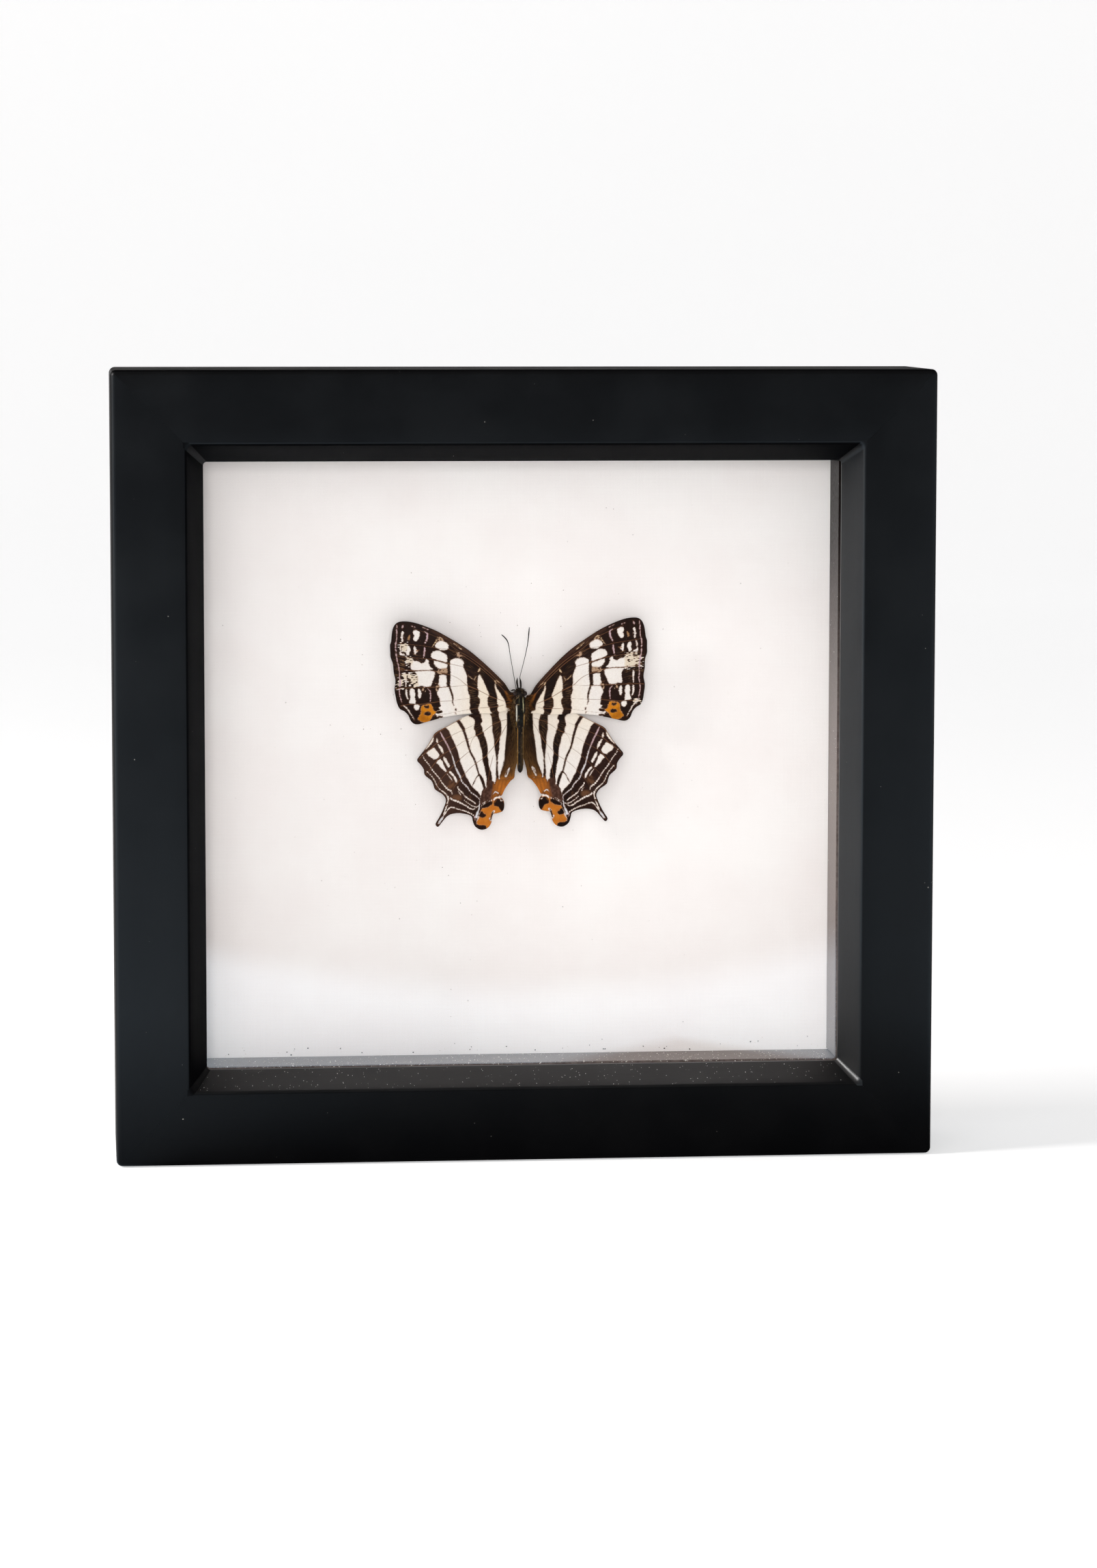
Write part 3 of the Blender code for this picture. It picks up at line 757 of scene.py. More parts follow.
# Forewing windows: pale shapes in the dark ground.
FOREWING_WINDOWS = [
    [(4.8, 14.1), (4.55, 13.3), (4.1, 12.5), (3.7, 11.8), (3.35, 11.2), (3.1, 10.7),
     (2.95, 10.0), (2.9, 9.4), (2.2, 9.1), (2.1, 7.8), (4.0, 7.9), (4.35, 8.6), (4.6, 9.2),
     (4.35, 9.8), (4.6, 10.4), (4.5, 11.4), (4.65, 12.3), (4.85, 13.2)],
    [(7.55, 15.85), (7.15, 15.2), (6.85, 14.4), (6.5, 13.5), (6.15, 12.5), (6.0, 11.9),
     (6.35, 11.3), (6.3, 10.7), (6.35, 10.1), (6.05, 9.6), (5.95, 9.0), (5.6, 8.5),
     (5.2, 7.8), (7.6, 7.8), (8.0, 8.9), (8.2, 9.5), (7.95, 10.1), (7.8, 10.7),
     (7.8, 11.3), (8.1, 11.8), (7.95, 12.4), (7.95, 13.0), (8.1, 13.6), (8.05, 14.4),
     (7.95, 15.2), (7.8, 15.7)],
    [(10.55, 17.5), (10.4, 18.2), (10.7, 18.85), (11.3, 19.1), (11.9, 19.2), (12.5, 19.05),
     (12.9, 18.7), (13.0, 18.0), (13.0, 17.2), (13.0, 16.5), (13.1, 15.8), (13.1, 15.0),
     (13.2, 14.2), (13.2, 13.4), (13.4, 12.5), (13.4, 11.0), (13.4, 9.5), (13.0, 7.9),
     (9.7, 8.1), (9.65, 9.2), (9.8, 9.7), (9.6, 10.3), (9.75, 10.9), (9.6, 11.5),
     (9.7, 12.2), (9.95, 13.0), (9.9, 13.6), (9.95, 14.2), (10.0, 15.0), (9.95, 15.8),
     (10.2, 16.6)],
    [(13.1, 21.35), (13.2, 21.95), (13.8, 22.4), (14.5, 22.65), (15.1, 22.5), (15.55, 22.0),
     (15.6, 21.5), (15.1, 21.15), (14.5, 20.9), (13.8, 20.8), (13.35, 20.95)],
    [(13.4, 19.3), (13.6, 20.0), (14.2, 20.4), (14.9, 20.75), (15.6, 20.8), (16.15, 20.6),
     (16.45, 20.1), (16.4, 19.6), (15.9, 19.2), (15.2, 19.0), (14.4, 18.75), (13.7, 18.5),
     (13.4, 18.8)],
    [(13.6, 18.2), (14.4, 18.5), (15.3, 18.8), (16.0, 18.9), (15.95, 18.3), (15.6, 17.8),
     (15.1, 17.4), (14.5, 17.25), (13.85, 17.3), (13.5, 17.7)],
    [(13.9, 16.1), (14.6, 16.3), (15.1, 16.1), (15.2, 15.5), (15.3, 14.9), (15.4, 14.3),
     (15.2, 14.0), (14.5, 13.95), (13.85, 14.1), (13.8, 14.8), (13.75, 15.5)],
    [(13.2, 13.6), (13.9, 13.9), (14.8, 13.95), (15.25, 13.85), (15.5, 13.35), (15.7, 12.8),
     (15.5, 12.2), (15.3, 11.7), (15.3, 11.2), (15.25, 10.9), (15.2, 10.35), (15.6, 10.1),
     (15.3, 9.8), (15.9, 9.4), (16.2, 9.0), (16.0, 8.6), (15.2, 7.9), (13.0, 7.8),
     (12.8, 9.5), (12.8, 11.0), (13.0, 12.5)],
    [(16.3, 17.3), (16.7, 17.9), (16.9, 18.5), (17.0, 19.1), (17.45, 19.35), (17.7, 18.85),
     (18.3, 18.6), (18.8, 18.95), (19.6, 19.1), (20.2, 18.8), (20.4, 18.0), (20.0, 17.4),
     (18.5, 17.3)],
    [(16.0, 16.9), (17.0, 17.15), (18.5, 17.2), (19.5, 17.15), (19.3, 16.5), (19.2, 15.8),
     (19.3, 15.0), (19.2, 14.4), (18.5, 14.4), (18.0, 14.2), (17.3, 14.15), (16.7, 14.4),
     (16.5, 15.0), (16.2, 15.6), (15.95, 16.3)],
    [(18.85, 13.75), (19.15, 13.95), (19.3, 13.3), (19.25, 12.6), (19.15, 12.0),
     (18.9, 12.1), (18.7, 12.5), (18.6, 13.0)],
    [(20.1, 13.95), (20.5, 14.05), (20.8, 13.6), (20.85, 12.9), (20.75, 12.3),
     (20.95, 11.7), (21.0, 11.25), (20.5, 11.15), (19.9, 11.15), (19.75, 11.6),
     (19.9, 12.2), (19.8, 12.8), (19.85, 13.5)],
    [(21.3, 14.0), (21.55, 13.8), (21.6, 13.2), (21.5, 12.6), (21.3, 12.05), (21.05, 11.95),
     (21.25, 12.6), (21.25, 13.3)],
    [(19.2, 10.85), (19.8, 11.0), (20.15, 10.7), (20.1, 10.2), (19.8, 9.9), (19.3, 10.0),
     (19.1, 10.4)],
    [(18.4, 24.5), (18.85, 24.85), (19.5, 24.8), (19.6, 24.3), (19.45, 23.8), (19.6, 23.3),
     (19.3, 22.8), (18.8, 23.0), (18.5, 23.5), (18.35, 24.0)],
    [(21.25, 24.5), (21.6, 24.8), (21.8, 24.3), (21.9, 23.6), (21.75, 22.9), (21.5, 22.85),
     (21.5, 23.4), (21.55, 23.9)],
    [(19.1, 21.3), (19.4, 22.0), (19.6, 21.5), (19.6, 20.8), (19.4, 20.35), (19.15, 20.6),
     (18.9, 20.95)],
    [(20.35, 21.8), (20.8, 22.2), (21.05, 21.8), (21.0, 21.2), (21.1, 20.7), (20.9, 20.3),
     (20.55, 20.2), (20.45, 20.8), (20.2, 21.1)],
    [(21.75, 22.4), (22.05, 22.3), (22.25, 21.7), (22.2, 21.1), (22.35, 20.6), (22.2, 20.3),
     (21.4, 20.3), (21.5, 20.5), (21.95, 20.75), (21.95, 21.3), (21.9, 21.9)],
    [(21.35, 16.85), (21.55, 16.6), (21.62, 15.9), (21.5, 15.2), (21.55, 14.6),
     (21.35, 14.45), (21.3, 15.2), (21.2, 15.9)],
]
# Pale lines in the forewing's dark ground, as (across, up, width), each with its colour.
FOREWING_LINES = [
    (LILAC, [(22.5, 26.0, 0.10), (22.6, 24.9, 0.18), (22.75, 23.2, 0.16), (22.95, 22.2, 0.16),
             (22.95, 21.2, 0.16), (22.9, 20.0, 0.16), (22.7, 18.8, 0.14), (22.5, 17.2, 0.14),
             (22.55, 16.2, 0.16), (22.45, 15.2, 0.14), (22.65, 14.2, 0.16), (22.7, 13.2, 0.18),
             (22.55, 12.2, 0.16), (22.3, 11.4, 0.14)]),
    (WHITE, [(22.2, 11.0, 0.14), (21.7, 10.5, 0.20), (21.2, 9.9, 0.22), (20.9, 9.3, 0.16),
             (20.5, 8.7, 0.16), (20.2, 8.1, 0.12)]),
    (WHITE, [(21.4, 24.0, 0.05), (21.3, 23.4, 0.05)]),
    (LILAC, [(17.55, 24.45, 0.10), (16.95, 24.1, 0.30), (17.0, 23.4, 0.32), (17.2, 22.8, 0.26),
             (17.55, 22.25, 0.12)]),
    (LILAC, [(17.55, 21.6, 0.16), (17.6, 21.0, 0.30), (17.7, 20.3, 0.28), (17.85, 19.7, 0.12)]),
    (LILAC, [(17.4, 13.85, 0.10), (17.0, 13.3, 0.22), (16.95, 12.4, 0.22), (17.05, 11.4, 0.12)]),
    (LILAC, [(16.8, 24.85, 0.08), (17.7, 25.3, 0.10)]),
    (LILAC, [(19.2, 25.45, 0.14), (19.75, 25.65, 0.10)]),
    (LILAC, [(21.35, 25.9, 0.16), (21.55, 25.45, 0.22)]),
    (BUFF, [(10.6, 20.7, 0.07), (11.4, 21.4, 0.12), (12.1, 21.95, 0.06)]),
    (BUFF, [(14.2, 23.0, 0.10), (14.6, 23.2, 0.20), (15.0, 23.35, 0.08)]),
    (BUFF, [(15.0, 23.0, 0.08), (15.6, 22.3, 0.16), (16.1, 21.6, 0.08)]),
    (BUFF, [(4.55, 14.1, 0.18), (4.75, 14.5, 0.24)]),
    (BUFF, [(7.45, 17.05, 0.12), (7.6, 16.75, 0.36), (7.8, 16.45, 0.16)]),
    (BUFF, [(3.9, 14.1, 0.10), (4.4, 14.6, 0.12)]),
    (TAN, [(20.25, 23.9, 0.22), (20.45, 23.4, 0.34), (20.4, 23.1, 0.16)]),
    (TAN, [(19.1, 21.0, 0.10), (18.6, 21.1, 0.10)]),
    (BUFF, [(8.3, 15.5, 0.10), (8.6, 15.0, 0.12)]),
    (BUFF, [(8.9, 15.1, 0.08), (9.7, 15.9, 0.08)]),
]
# Dark marks that lie on the forewing's white ground.
FOREWING_BARS = [
    [(13.2, 19.1, 0.55), (13.25, 18.3, 0.5), (13.2, 17.4, 0.42), (13.3, 16.4, 0.6),
     (13.4, 15.3, 0.62), (13.45, 14.4, 0.55), (13.3, 13.8, 0.32), (13.1, 13.1, 0.34),
     (12.9, 12.3, 0.28), (12.8, 11.6, 0.24), (12.9, 11.1, 0.16), (12.7, 10.4, 0.12)],
    [(12.4, 9.75, 0.24), (12.35, 9.5, 0.26)],
    [(12.42, 8.95, 0.14), (12.4, 8.75, 0.16)],
    [(15.15, 9.35, 0.5), (15.6, 9.35, 0.62), (15.9, 9.25, 0.3)],
    [(14.95, 8.3, 0.3), (15.6, 8.35, 0.42), (16.3, 8.2, 0.38), (16.85, 8.05, 0.2)],
    [(15.7, 10.15, 0.35), (16.3, 10.4, 0.5)],
]
FOREWING_ORANGE = [
    (16.05, 9.3), (16.5, 9.75), (16.7, 10.4), (17.0, 10.9), (17.6, 10.95), (18.4, 10.8),
    (18.85, 10.4), (18.9, 9.7), (19.0, 9.2), (19.35, 8.7), (19.6, 8.25), (19.3, 7.9),
    (18.7, 7.6), (18.0, 7.5), (17.3, 7.75), (17.0, 8.3), (16.6, 8.85),
]
FOREWING_ORANGE_SPOTS = [
    [(17.35, 9.1, 0.55), (17.65, 9.12, 0.78), (18.05, 9.1, 0.5)],
    [(17.5, 10.45, 0.4), (17.8, 10.35, 0.55), (18.1, 10.5, 0.4)],
]
FOREWING_ROOT_STREAK = [(1.9, 10.4, 0.3), (2.4, 11.4, 0.42), (2.9, 12.4, 0.2)]
FOREWING_COSTAL_STREAK = [(2.2, 13.2, 0.2), (6.0, 17.0, 0.4), (11.0, 21.3, 0.5),
                          (16.0, 24.6, 0.4)]
# Veins as (across, up, width).
FOREWING_VEINS = [
    [(3.2, 10.6, 0.10), (5.2, 11.4, 0.14), (6.5, 12.1, 0.14), (8.2, 13.1, 0.13),
     (10.1, 14.05, 0.12), (11.5, 15.3, 0.10), (13.0, 16.1, 0.09), (14.5, 16.55, 0.12),
     (16.0, 17.0, 0.12), (18.0, 17.25, 0.12), (20.0, 17.35, 0.12), (22.4, 17.7, 0.10)],
    [(10.1, 14.05, 0.06), (13.0, 13.9, 0.07), (15.3, 13.95, 0.08), (17.0, 14.05, 0.09),
     (19.3, 14.1, 0.09), (22.0, 14.2, 0.10), (23.4, 14.1, 0.12)],
    [(8.2, 11.6, 0.05), (10.9, 11.45, 0.06), (13.0, 11.3, 0.07), (15.5, 11.25, 0.10),
     (17.0, 11.1, 0.10), (19.2, 10.95, 0.09), (21.0, 11.05, 0.09), (22.6, 10.85, 0.14)],
    [(3.4, 9.9, 0.09), (4.6, 9.7, 0.10), (8.0, 9.6, 0.09), (10.0, 9.45, 0.07),
     (12.5, 9.1, 0.06), (15.0, 8.8, 0.07), (17.0, 8.6, 0.08)],
    [(10.5, 17.5, 0.09), (13.0, 18.2, 0.11), (14.5, 18.7, 0.10), (16.0, 19.15, 0.10),
     (18.0, 19.5, 0.08), (22.6, 20.1, 0.08)],
    [(3.4, 13.6, 0.10), (5.6, 16.0, 0.11), (7.5, 17.8, 0.11), (9.4, 19.3, 0.10),
     (11.5, 20.7, 0.09), (14.0, 22.6, 0.08), (16.5, 24.0, 0.07), (19.5, 25.2, 0.06)],
    [(2.6, 12.0, 0.10), (4.8, 14.6, 0.09), (7.0, 16.8, 0.10), (9.0, 18.5, 0.10),
     (10.8, 19.7, 0.10), (13.0, 20.9, 0.09), (15.0, 21.2, 0.08), (18.0, 21.9, 0.07),
     (22.6, 22.6, 0.07)],
    [(8.3, 14.6, 0.06), (9.0, 15.2, 0.06), (9.9, 15.6, 0.05)],
]
FOREWING_TAN_PATCHES = [
    [(13.4, 17.2), (14.4, 17.3), (15.3, 17.1), (15.9, 17.0), (15.3, 16.5), (14.3, 16.4),
     (13.5, 16.4)],
    [(10.3, 19.4), (10.9, 19.9), (11.7, 20.3), (11.9, 19.8), (11.2, 19.4)],
    [(14.0, 22.7), (14.8, 23.0), (15.6, 22.6), (15.4, 22.4), (14.6, 22.75)],
    [(15.3, 14.2), (15.9, 14.6), (16.0, 13.8), (15.7, 13.4)],
    [(17.9, 13.9), (18.5, 14.1), (18.4, 13.5), (18.0, 13.3)],
]
# Worn places where scales have rubbed off, for each side.
FOREWING_RUBBED = {
    "right": [
        [(20.1, 17.65), (21.2, 17.6), (22.5, 17.75), (22.95, 18.1), (22.2, 18.3),
         (21.3, 18.2), (20.3, 18.5)],
        [(20.1, 18.7), (21.2, 18.75), (22.1, 18.9), (22.9, 19.1), (22.7, 19.6),
         (21.7, 19.75), (20.6, 19.9), (20.1, 19.5)],
        [(21.2, 11.1), (22.2, 11.2), (22.7, 10.9), (22.0, 10.7)],
    ],
    "left": [
        [(19.5, 16.2), (20.5, 16.4), (21.8, 16.6), (21.6, 16.0), (20.6, 15.9),
         (20.2, 15.2), (19.6, 15.0), (19.4, 15.6)],
        [(22.3, 15.9), (22.75, 15.2), (22.9, 14.4), (22.4, 14.3), (22.2, 15.0)],
        [(21.0, 22.2), (21.7, 22.5), (21.8, 21.8), (21.4, 21.2)],
        [(20.1, 19.3), (20.8, 19.8), (20.9, 19.1), (20.4, 18.7)],
        [(19.4, 14.8), (20.2, 14.75), (20.0, 14.5), (19.4, 14.55)],
    ],
}

# Hindwing: dark bars on the white ground.
HINDWING_BAND_ONE = [
    (4.0, 9.9), (4.0, 8.6), (3.65, 7.4), (3.6, 6.2), (3.7, 5.2), (3.95, 4.4), (4.1, 3.3),
    (4.2, 2.2), (4.45, 1.0), (4.5, 0.0), (4.55, -1.0), (4.55, -2.0), (4.5, -3.4),
    (4.95, -3.5), (4.95, -2.2), (4.85, -1.0), (4.75, 0.0), (4.8, 1.0), (4.95, 2.2),
    (5.05, 3.3), (5.1, 4.6), (5.3, 5.6), (5.3, 6.6), (5.3, 7.6), (5.4, 8.6), (6.0, 9.9),
]
HINDWING_BAND_TWO = [
    (7.6, 9.8), (7.3, 8.4), (7.15, 7.8), (7.45, 7.2), (7.15, 6.5), (7.15, 6.0), (6.9, 5.5),
    (6.85, 5.0), (6.6, 4.4), (6.4, 3.6), (6.3, 2.8), (6.3, 2.0), (6.45, 1.3), (6.3, 0.6),
    (6.25, -0.2), (6.15, -1.0), (5.85, -1.8), (5.75, -2.8), (5.7, -3.8), (5.5, -4.8),
    (6.3, -5.6), (7.4, -5.8), (6.9, -4.9), (6.65, -4.2), (6.7, -3.2), (6.85, -2.4),
    (6.95, -1.4), (7.1, -0.6), (7.3, 0.2), (7.35, 0.9), (7.35, 1.6), (7.5, 2.6),
    (7.75, 3.3), (7.85, 4.1), (8.15, 4.8), (8.5, 5.2), (8.5, 5.9), (8.75, 6.5),
    (8.6, 7.3), (8.65, 8.2), (9.6, 8.9), (9.8, 9.8),
]
HINDWING_BARS = [
    [(11.9, 8.3, 0.6), (11.3, 7.5, 0.62), (10.8, 6.6, 0.58), (10.45, 5.4, 0.42),
     (10.15, 4.3, 0.42), (9.85, 3.0, 0.34), (9.55, 2.0, 0.32), (9.05, 1.0, 0.34),
     (8.75, 0.2, 0.3), (8.5, -0.8, 0.3), (8.2, -2.05, 0.28)],
    [(8.2, -2.05, 0.26), (7.75, -2.9, 0.5), (7.4, -3.9, 0.52), (7.2, -5.0, 0.5),
     (7.35, -6.0, 0.6), (7.7, -7.0, 0.6)],
    [(8.25, -2.2, 0.12), (8.9, -3.3, 0.14), (9.65, -4.7, 0.16)],
]
# Everything outside this line is the dark outer half of the hindwing.
HINDWING_OUTER = [
    (14.0, 6.75), (13.6, 6.4), (13.3, 5.8), (13.0, 5.0), (12.6, 4.2), (12.3, 3.4),
    (12.05, 2.6), (11.8, 1.6), (11.6, 0.7), (11.4, -0.2), (11.0, -1.2), (10.7, -2.2),
    (10.3, -3.0), (9.9, -3.8), (9.4, -4.6), (8.8, -5.2), (8.2, -5.9), (7.9, -6.6),
    (7.8, -7.6), (7.9, -8.6), (8.2, -9.4), (8.6, -10.2), (9.0, -11.2), (9.2, -12.4),
    (11.0, -13.0), (18.0, -13.0), (21.0, -4.0), (21.0, 3.0), (18.5, 6.5), (15.5, 7.5),
]
HINDWING_WINDOWS = [
    [(15.75, 5.0), (15.95, 4.6), (15.75, 4.05), (15.5, 4.3)],
    [(15.6, 3.7), (15.35, 3.0), (14.95, 2.3), (14.65, 2.0), (14.6, 2.6), (14.9, 3.2),
     (15.3, 3.65)],
    [(14.6, 1.35), (14.7, 1.0), (14.4, 0.3), (14.0, -0.4), (13.7, -0.75), (13.6, -0.2),
     (13.9, 0.5), (14.2, 1.1)],
    [(13.6, -1.4), (13.65, -1.7), (13.2, -2.2), (12.85, -2.8), (12.5, -3.5), (12.25, -3.4),
     (12.4, -2.8), (12.8, -2.1), (13.2, -1.55)],
    [(16.4, 3.2), (16.9, 3.0), (17.65, 2.5), (17.75, 2.1), (17.4, 1.65), (16.9, 1.3),
     (16.4, 0.95), (15.8, 1.15), (15.4, 1.6), (15.6, 2.2), (16.0, 2.75)],
    [(15.3, 1.0), (15.9, 0.6), (16.0, 0.25), (15.6, -0.1), (15.3, -0.6), (14.9, -0.95),
     (14.5, -1.35), (14.15, -1.5), (14.3, -0.9), (14.6, -0.3), (14.8, 0.4), (15.1, 0.85)],
    [(16.3, 5.35), (16.7, 5.0), (17.2, 4.2), (17.8, 3.45), (18.1, 3.0), (17.9, 2.9),
     (17.3, 3.4), (16.8, 3.9), (16.45, 4.5)],
]
HINDWING_LINES = [
    (LILAC, [(15.05, 6.1, 0.12), (14.75, 5.4, 0.24), (14.35, 4.6, 0.26), (13.95, 3.8, 0.24),
             (13.6, 3.0, 0.24), (13.3, 2.2, 0.20)]),
    (FROST, [(13.3, 2.2, 0.18), (13.0, 1.4, 0.22), (12.8, 0.6, 0.24), (12.6, -0.2, 0.22),
             (12.4, -0.9, 0.26), (12.1, -1.6, 0.34), (11.75, -2.3, 0.34), (11.5, -3.1, 0.22),
             (11.1, -3.8, 0.22), (10.6, -4.3, 0.24), (10.2, -4.8, 0.22), (9.9, -5.4, 0.14),
             (9.3, -5.9, 0.18), (8.7, -6.4, 0.18), (8.2, -6.9, 0.18), (8.1, -7.4, 0.2)]),
    (WHITE, [(12.25, -4.35, 0.12), (12.0, -4.9, 0.20), (11.4, -5.5, 0.24),
             (10.95, -6.2, 0.2), (10.4, -6.65, 0.24), (9.9, -7.0, 0.22), (9.3, -7.4, 0.2),
             (8.9, -7.8, 0.12)]),
    (WHITE, [(12.1, -5.3, 0.1), (11.7, -5.9, 0.16)]),
    (WHITE, [(14.0, -1.9, 0.18), (13.4, -2.8, 0.16), (13.1, -3.3, 0.06)]),
    (WHITE, [(18.55, 1.85, 0.12), (18.3, 1.2, 0.16), (17.8, 0.5, 0.16), (17.35, -0.1, 0.16),
             (16.9, -0.9, 0.18), (16.4, -1.6, 0.18), (15.9, -2.2, 0.20), (15.5, -2.8, 0.22),
             (15.2, -3.3, 0.18), (14.8, -3.9, 0.24), (14.4, -4.4, 0.26), (14.0, -4.8, 0.28),
             (13.5, -5.1, 0.24), (13.3, -5.7, 0.14)]),
    (WHITE, [(13.65, -6.4, 0.18), (13.2, -6.8, 0.3), (12.3, -7.15, 0.28), (11.7, -7.5, 0.26),
             (11.0, -7.9, 0.22), (10.4, -8.3, 0.24), (9.9, -8.65, 0.24), (9.3, -8.7, 0.18),
             (8.9, -8.5, 0.1)]),
    (WHITE, [(17.9, -1.2, 0.2), (17.6, -1.5, 0.16), (17.0, -2.2, 0.14), (16.5, -3.0, 0.16),
             (16.25, -3.7, 0.18), (15.9, -4.3, 0.16), (15.3, -4.95, 0.18), (14.6, -5.5, 0.2),
             (14.2, -6.1, 0.26), (14.1, -6.8, 0.24), (14.3, -7.6, 0.2), (14.6, -8.4, 0.2),
             (14.9, -9.1, 0.2), (15.1, -9.7, 0.2)]),
    (WHITE, [(9.2, -10.2, 0.12), (9.5, -9.85, 0.18), (10.2, -9.4, 0.2), (10.8, -9.1, 0.18),
             (11.5, -8.8, 0.18), (12.3, -8.6, 0.18), (13.0, -8.3, 0.2), (13.6, -8.2, 0.24),
             (14.1, -8.5, 0.22), (14.5, -9.0, 0.2), (14.9, -9.5, 0.22)]),
    (FROST, [(15.1, -9.8, 0.26), (15.5, -10.4, 0.36), (15.95, -10.95, 0.34),
             (16.1, -11.2, 0.16)]),
    (WHITE, [(8.5, -8.2, 0.14), (9.0, -8.3, 0.16), (9.5, -8.15, 0.16), (10.0, -7.85, 0.14),
             (10.7, -7.3, 0.12), (11.1, -7.0, 0.06)]),
    (FROST, [(8.0, -6.7, 0.1), (8.1, -7.4, 0.2), (8.3, -8.1, 0.2), (8.4, -8.7, 0.26),
             (8.7, -9.5, 0.42), (8.95, -10.2, 0.5)]),
    (LILAC, [(9.3, -10.0, 0.1), (9.25, -10.8, 0.12)]),
]
HINDWING_TAN_PATCHES = [
    [(13.0, -3.0), (14.0, -3.4), (14.2, -4.2), (13.6, -4.9), (13.0, -4.4), (12.8, -3.6)],
    [(11.8, -6.0), (12.8, -5.9), (13.3, -6.3), (12.8, -6.9), (12.0, -7.0), (11.6, -6.6)],
    [(16.4, 5.2), (16.8, 4.8), (16.6, 4.4), (16.2, 4.7)],
    [(9.9, -6.3), (10.5, -6.1), (10.7, -6.8), (10.2, -7.0)],
]
INNER_MARGIN = [
    (-0.5, 10.2), (2.2, 9.4), (2.45, 8.0), (2.5, 6.8), (2.6, 5.4), (2.8, 4.2), (3.0, 2.6),
    (3.15, 1.2), (3.3, 0.0), (3.6, -1.0), (4.0, -2.0), (4.3, -3.2), (3.6, -3.5),
    (2.9, -3.3), (2.2, -3.5), (1.5, -3.8), (0.5, -2.0), (-0.5, 0.5),
]
INNER_MARGIN_EDGE = [
    (2.3, 9.0, 0.3), (2.3, 7.0, 0.4), (2.5, 5.2, 0.5), (2.75, 3.6, 0.5), (2.9, 2.0, 0.5),
    (3.1, 0.2, 0.5), (3.5, -1.2, 0.5), (3.9, -2.4, 0.4),
]
# Height and colour along the hairy inner margin.
INNER_MARGIN_COLORS = [(-3.4, (148, 91, 34)), (-2.2, (108, 68, 30)), (-0.5, (80, 53, 26)),
                       (3.0, (50, 31, 16)), (8.0, (27, 16, 9))]
INNER_WINDOW = [(2.4, -1.35, 0.3), (2.7, -1.9, 0.5), (3.1, -2.8, 0.45)]
INNER_WINDOW_CORE = [(2.75, -1.75, 0.12), (3.05, -2.5, 0.16)]
TORNAL_BROWN = [
    (5.6, -3.6), (6.7, -3.6), (6.8, -4.8), (7.3, -5.0), (7.7, -5.6), (8.0, -6.6),
    (8.2, -7.6), (7.9, -8.1), (7.0, -7.6), (6.2, -7.3), (5.8, -6.8), (5.6, -6.0),
    (5.2, -5.2), (5.2, -4.3),
]
TORNAL_OCHRE = [
    (2.0, -3.2), (3.0, -3.35), (4.0, -3.3), (4.9, -3.45), (5.3, -4.2), (5.45, -5.0),
    (5.65, -6.0), (5.85, -6.9), (5.6, -7.5), (5.2, -7.0), (4.6, -6.2), (3.7, -6.8),
    (2.4, -5.0), (1.5, -3.6),
]
LOBE_OCHRE = [
    (4.0, -6.9), (5.0, -6.4), (5.7, -7.0), (6.1, -7.9), (6.6, -8.4), (7.3, -8.6),
    (7.9, -8.8), (8.2, -9.8), (8.5, -10.6), (8.9, -11.2), (8.6, -11.8), (7.6, -12.4),
    (6.6, -12.6), (5.8, -11.6), (5.6, -10.2), (5.0, -9.9), (3.8, -9.9), (3.0, -8.8),
    (3.2, -7.2),
]
LOBE_BLACK = [
    [(4.1, -6.9), (3.75, -7.4), (3.5, -8.2), (3.6, -9.0), (4.1, -9.35), (4.5, -9.0),
     (4.8, -8.5), (5.4, -8.25), (5.6, -7.8), (5.3, -7.2), (4.8, -6.95), (4.4, -7.1)],
    [(4.3, -6.35), (4.8, -6.0), (5.3, -6.15), (5.6, -6.7), (5.2, -6.6), (4.7, -6.5)],
    [(5.75, -7.4), (6.4, -7.4), (7.0, -7.6), (7.6, -8.0), (7.9, -8.35), (7.5, -8.65),
     (6.9, -8.5), (6.3, -8.3), (5.9, -7.9)],
    [(7.1, -9.95), (7.5, -9.6), (8.0, -9.1), (8.3, -9.6), (8.35, -10.1), (7.9, -10.4),
     (7.4, -10.3)],
    [(7.2, -12.1), (7.6, -11.8), (8.3, -11.8), (8.9, -11.6), (9.3, -11.0), (9.7, -10.6),
     (9.7, -11.6), (8.9, -12.8), (7.6, -12.9), (7.1, -12.5)],
]
LOBE_VEIN = [(5.7, -9.3, 0.12), (5.95, -9.9, 0.3), (6.2, -10.6, 0.34), (6.35, -10.9, 0.12)]
LOBE_PALE = [
    [(4.6, -5.95, 0.1), (5.2, -5.65, 0.2), (5.5, -5.95, 0.12)],
    [(3.95, -7.35, 0.1), (4.15, -7.35, 0.22), (4.3, -7.15, 0.1)],
    [(4.4, -6.75, 0.1), (5.0, -6.7, 0.14), (5.45, -7.1, 0.12)],
    [(5.6, -9.3, 0.16), (5.85, -9.6, 0.14)],
    [(6.2, -10.95, 0.14), (6.4, -10.6, 0.1)],
    [(6.6, -7.2, 0.06), (7.0, -7.3, 0.14), (7.6, -7.75, 0.12)],
]
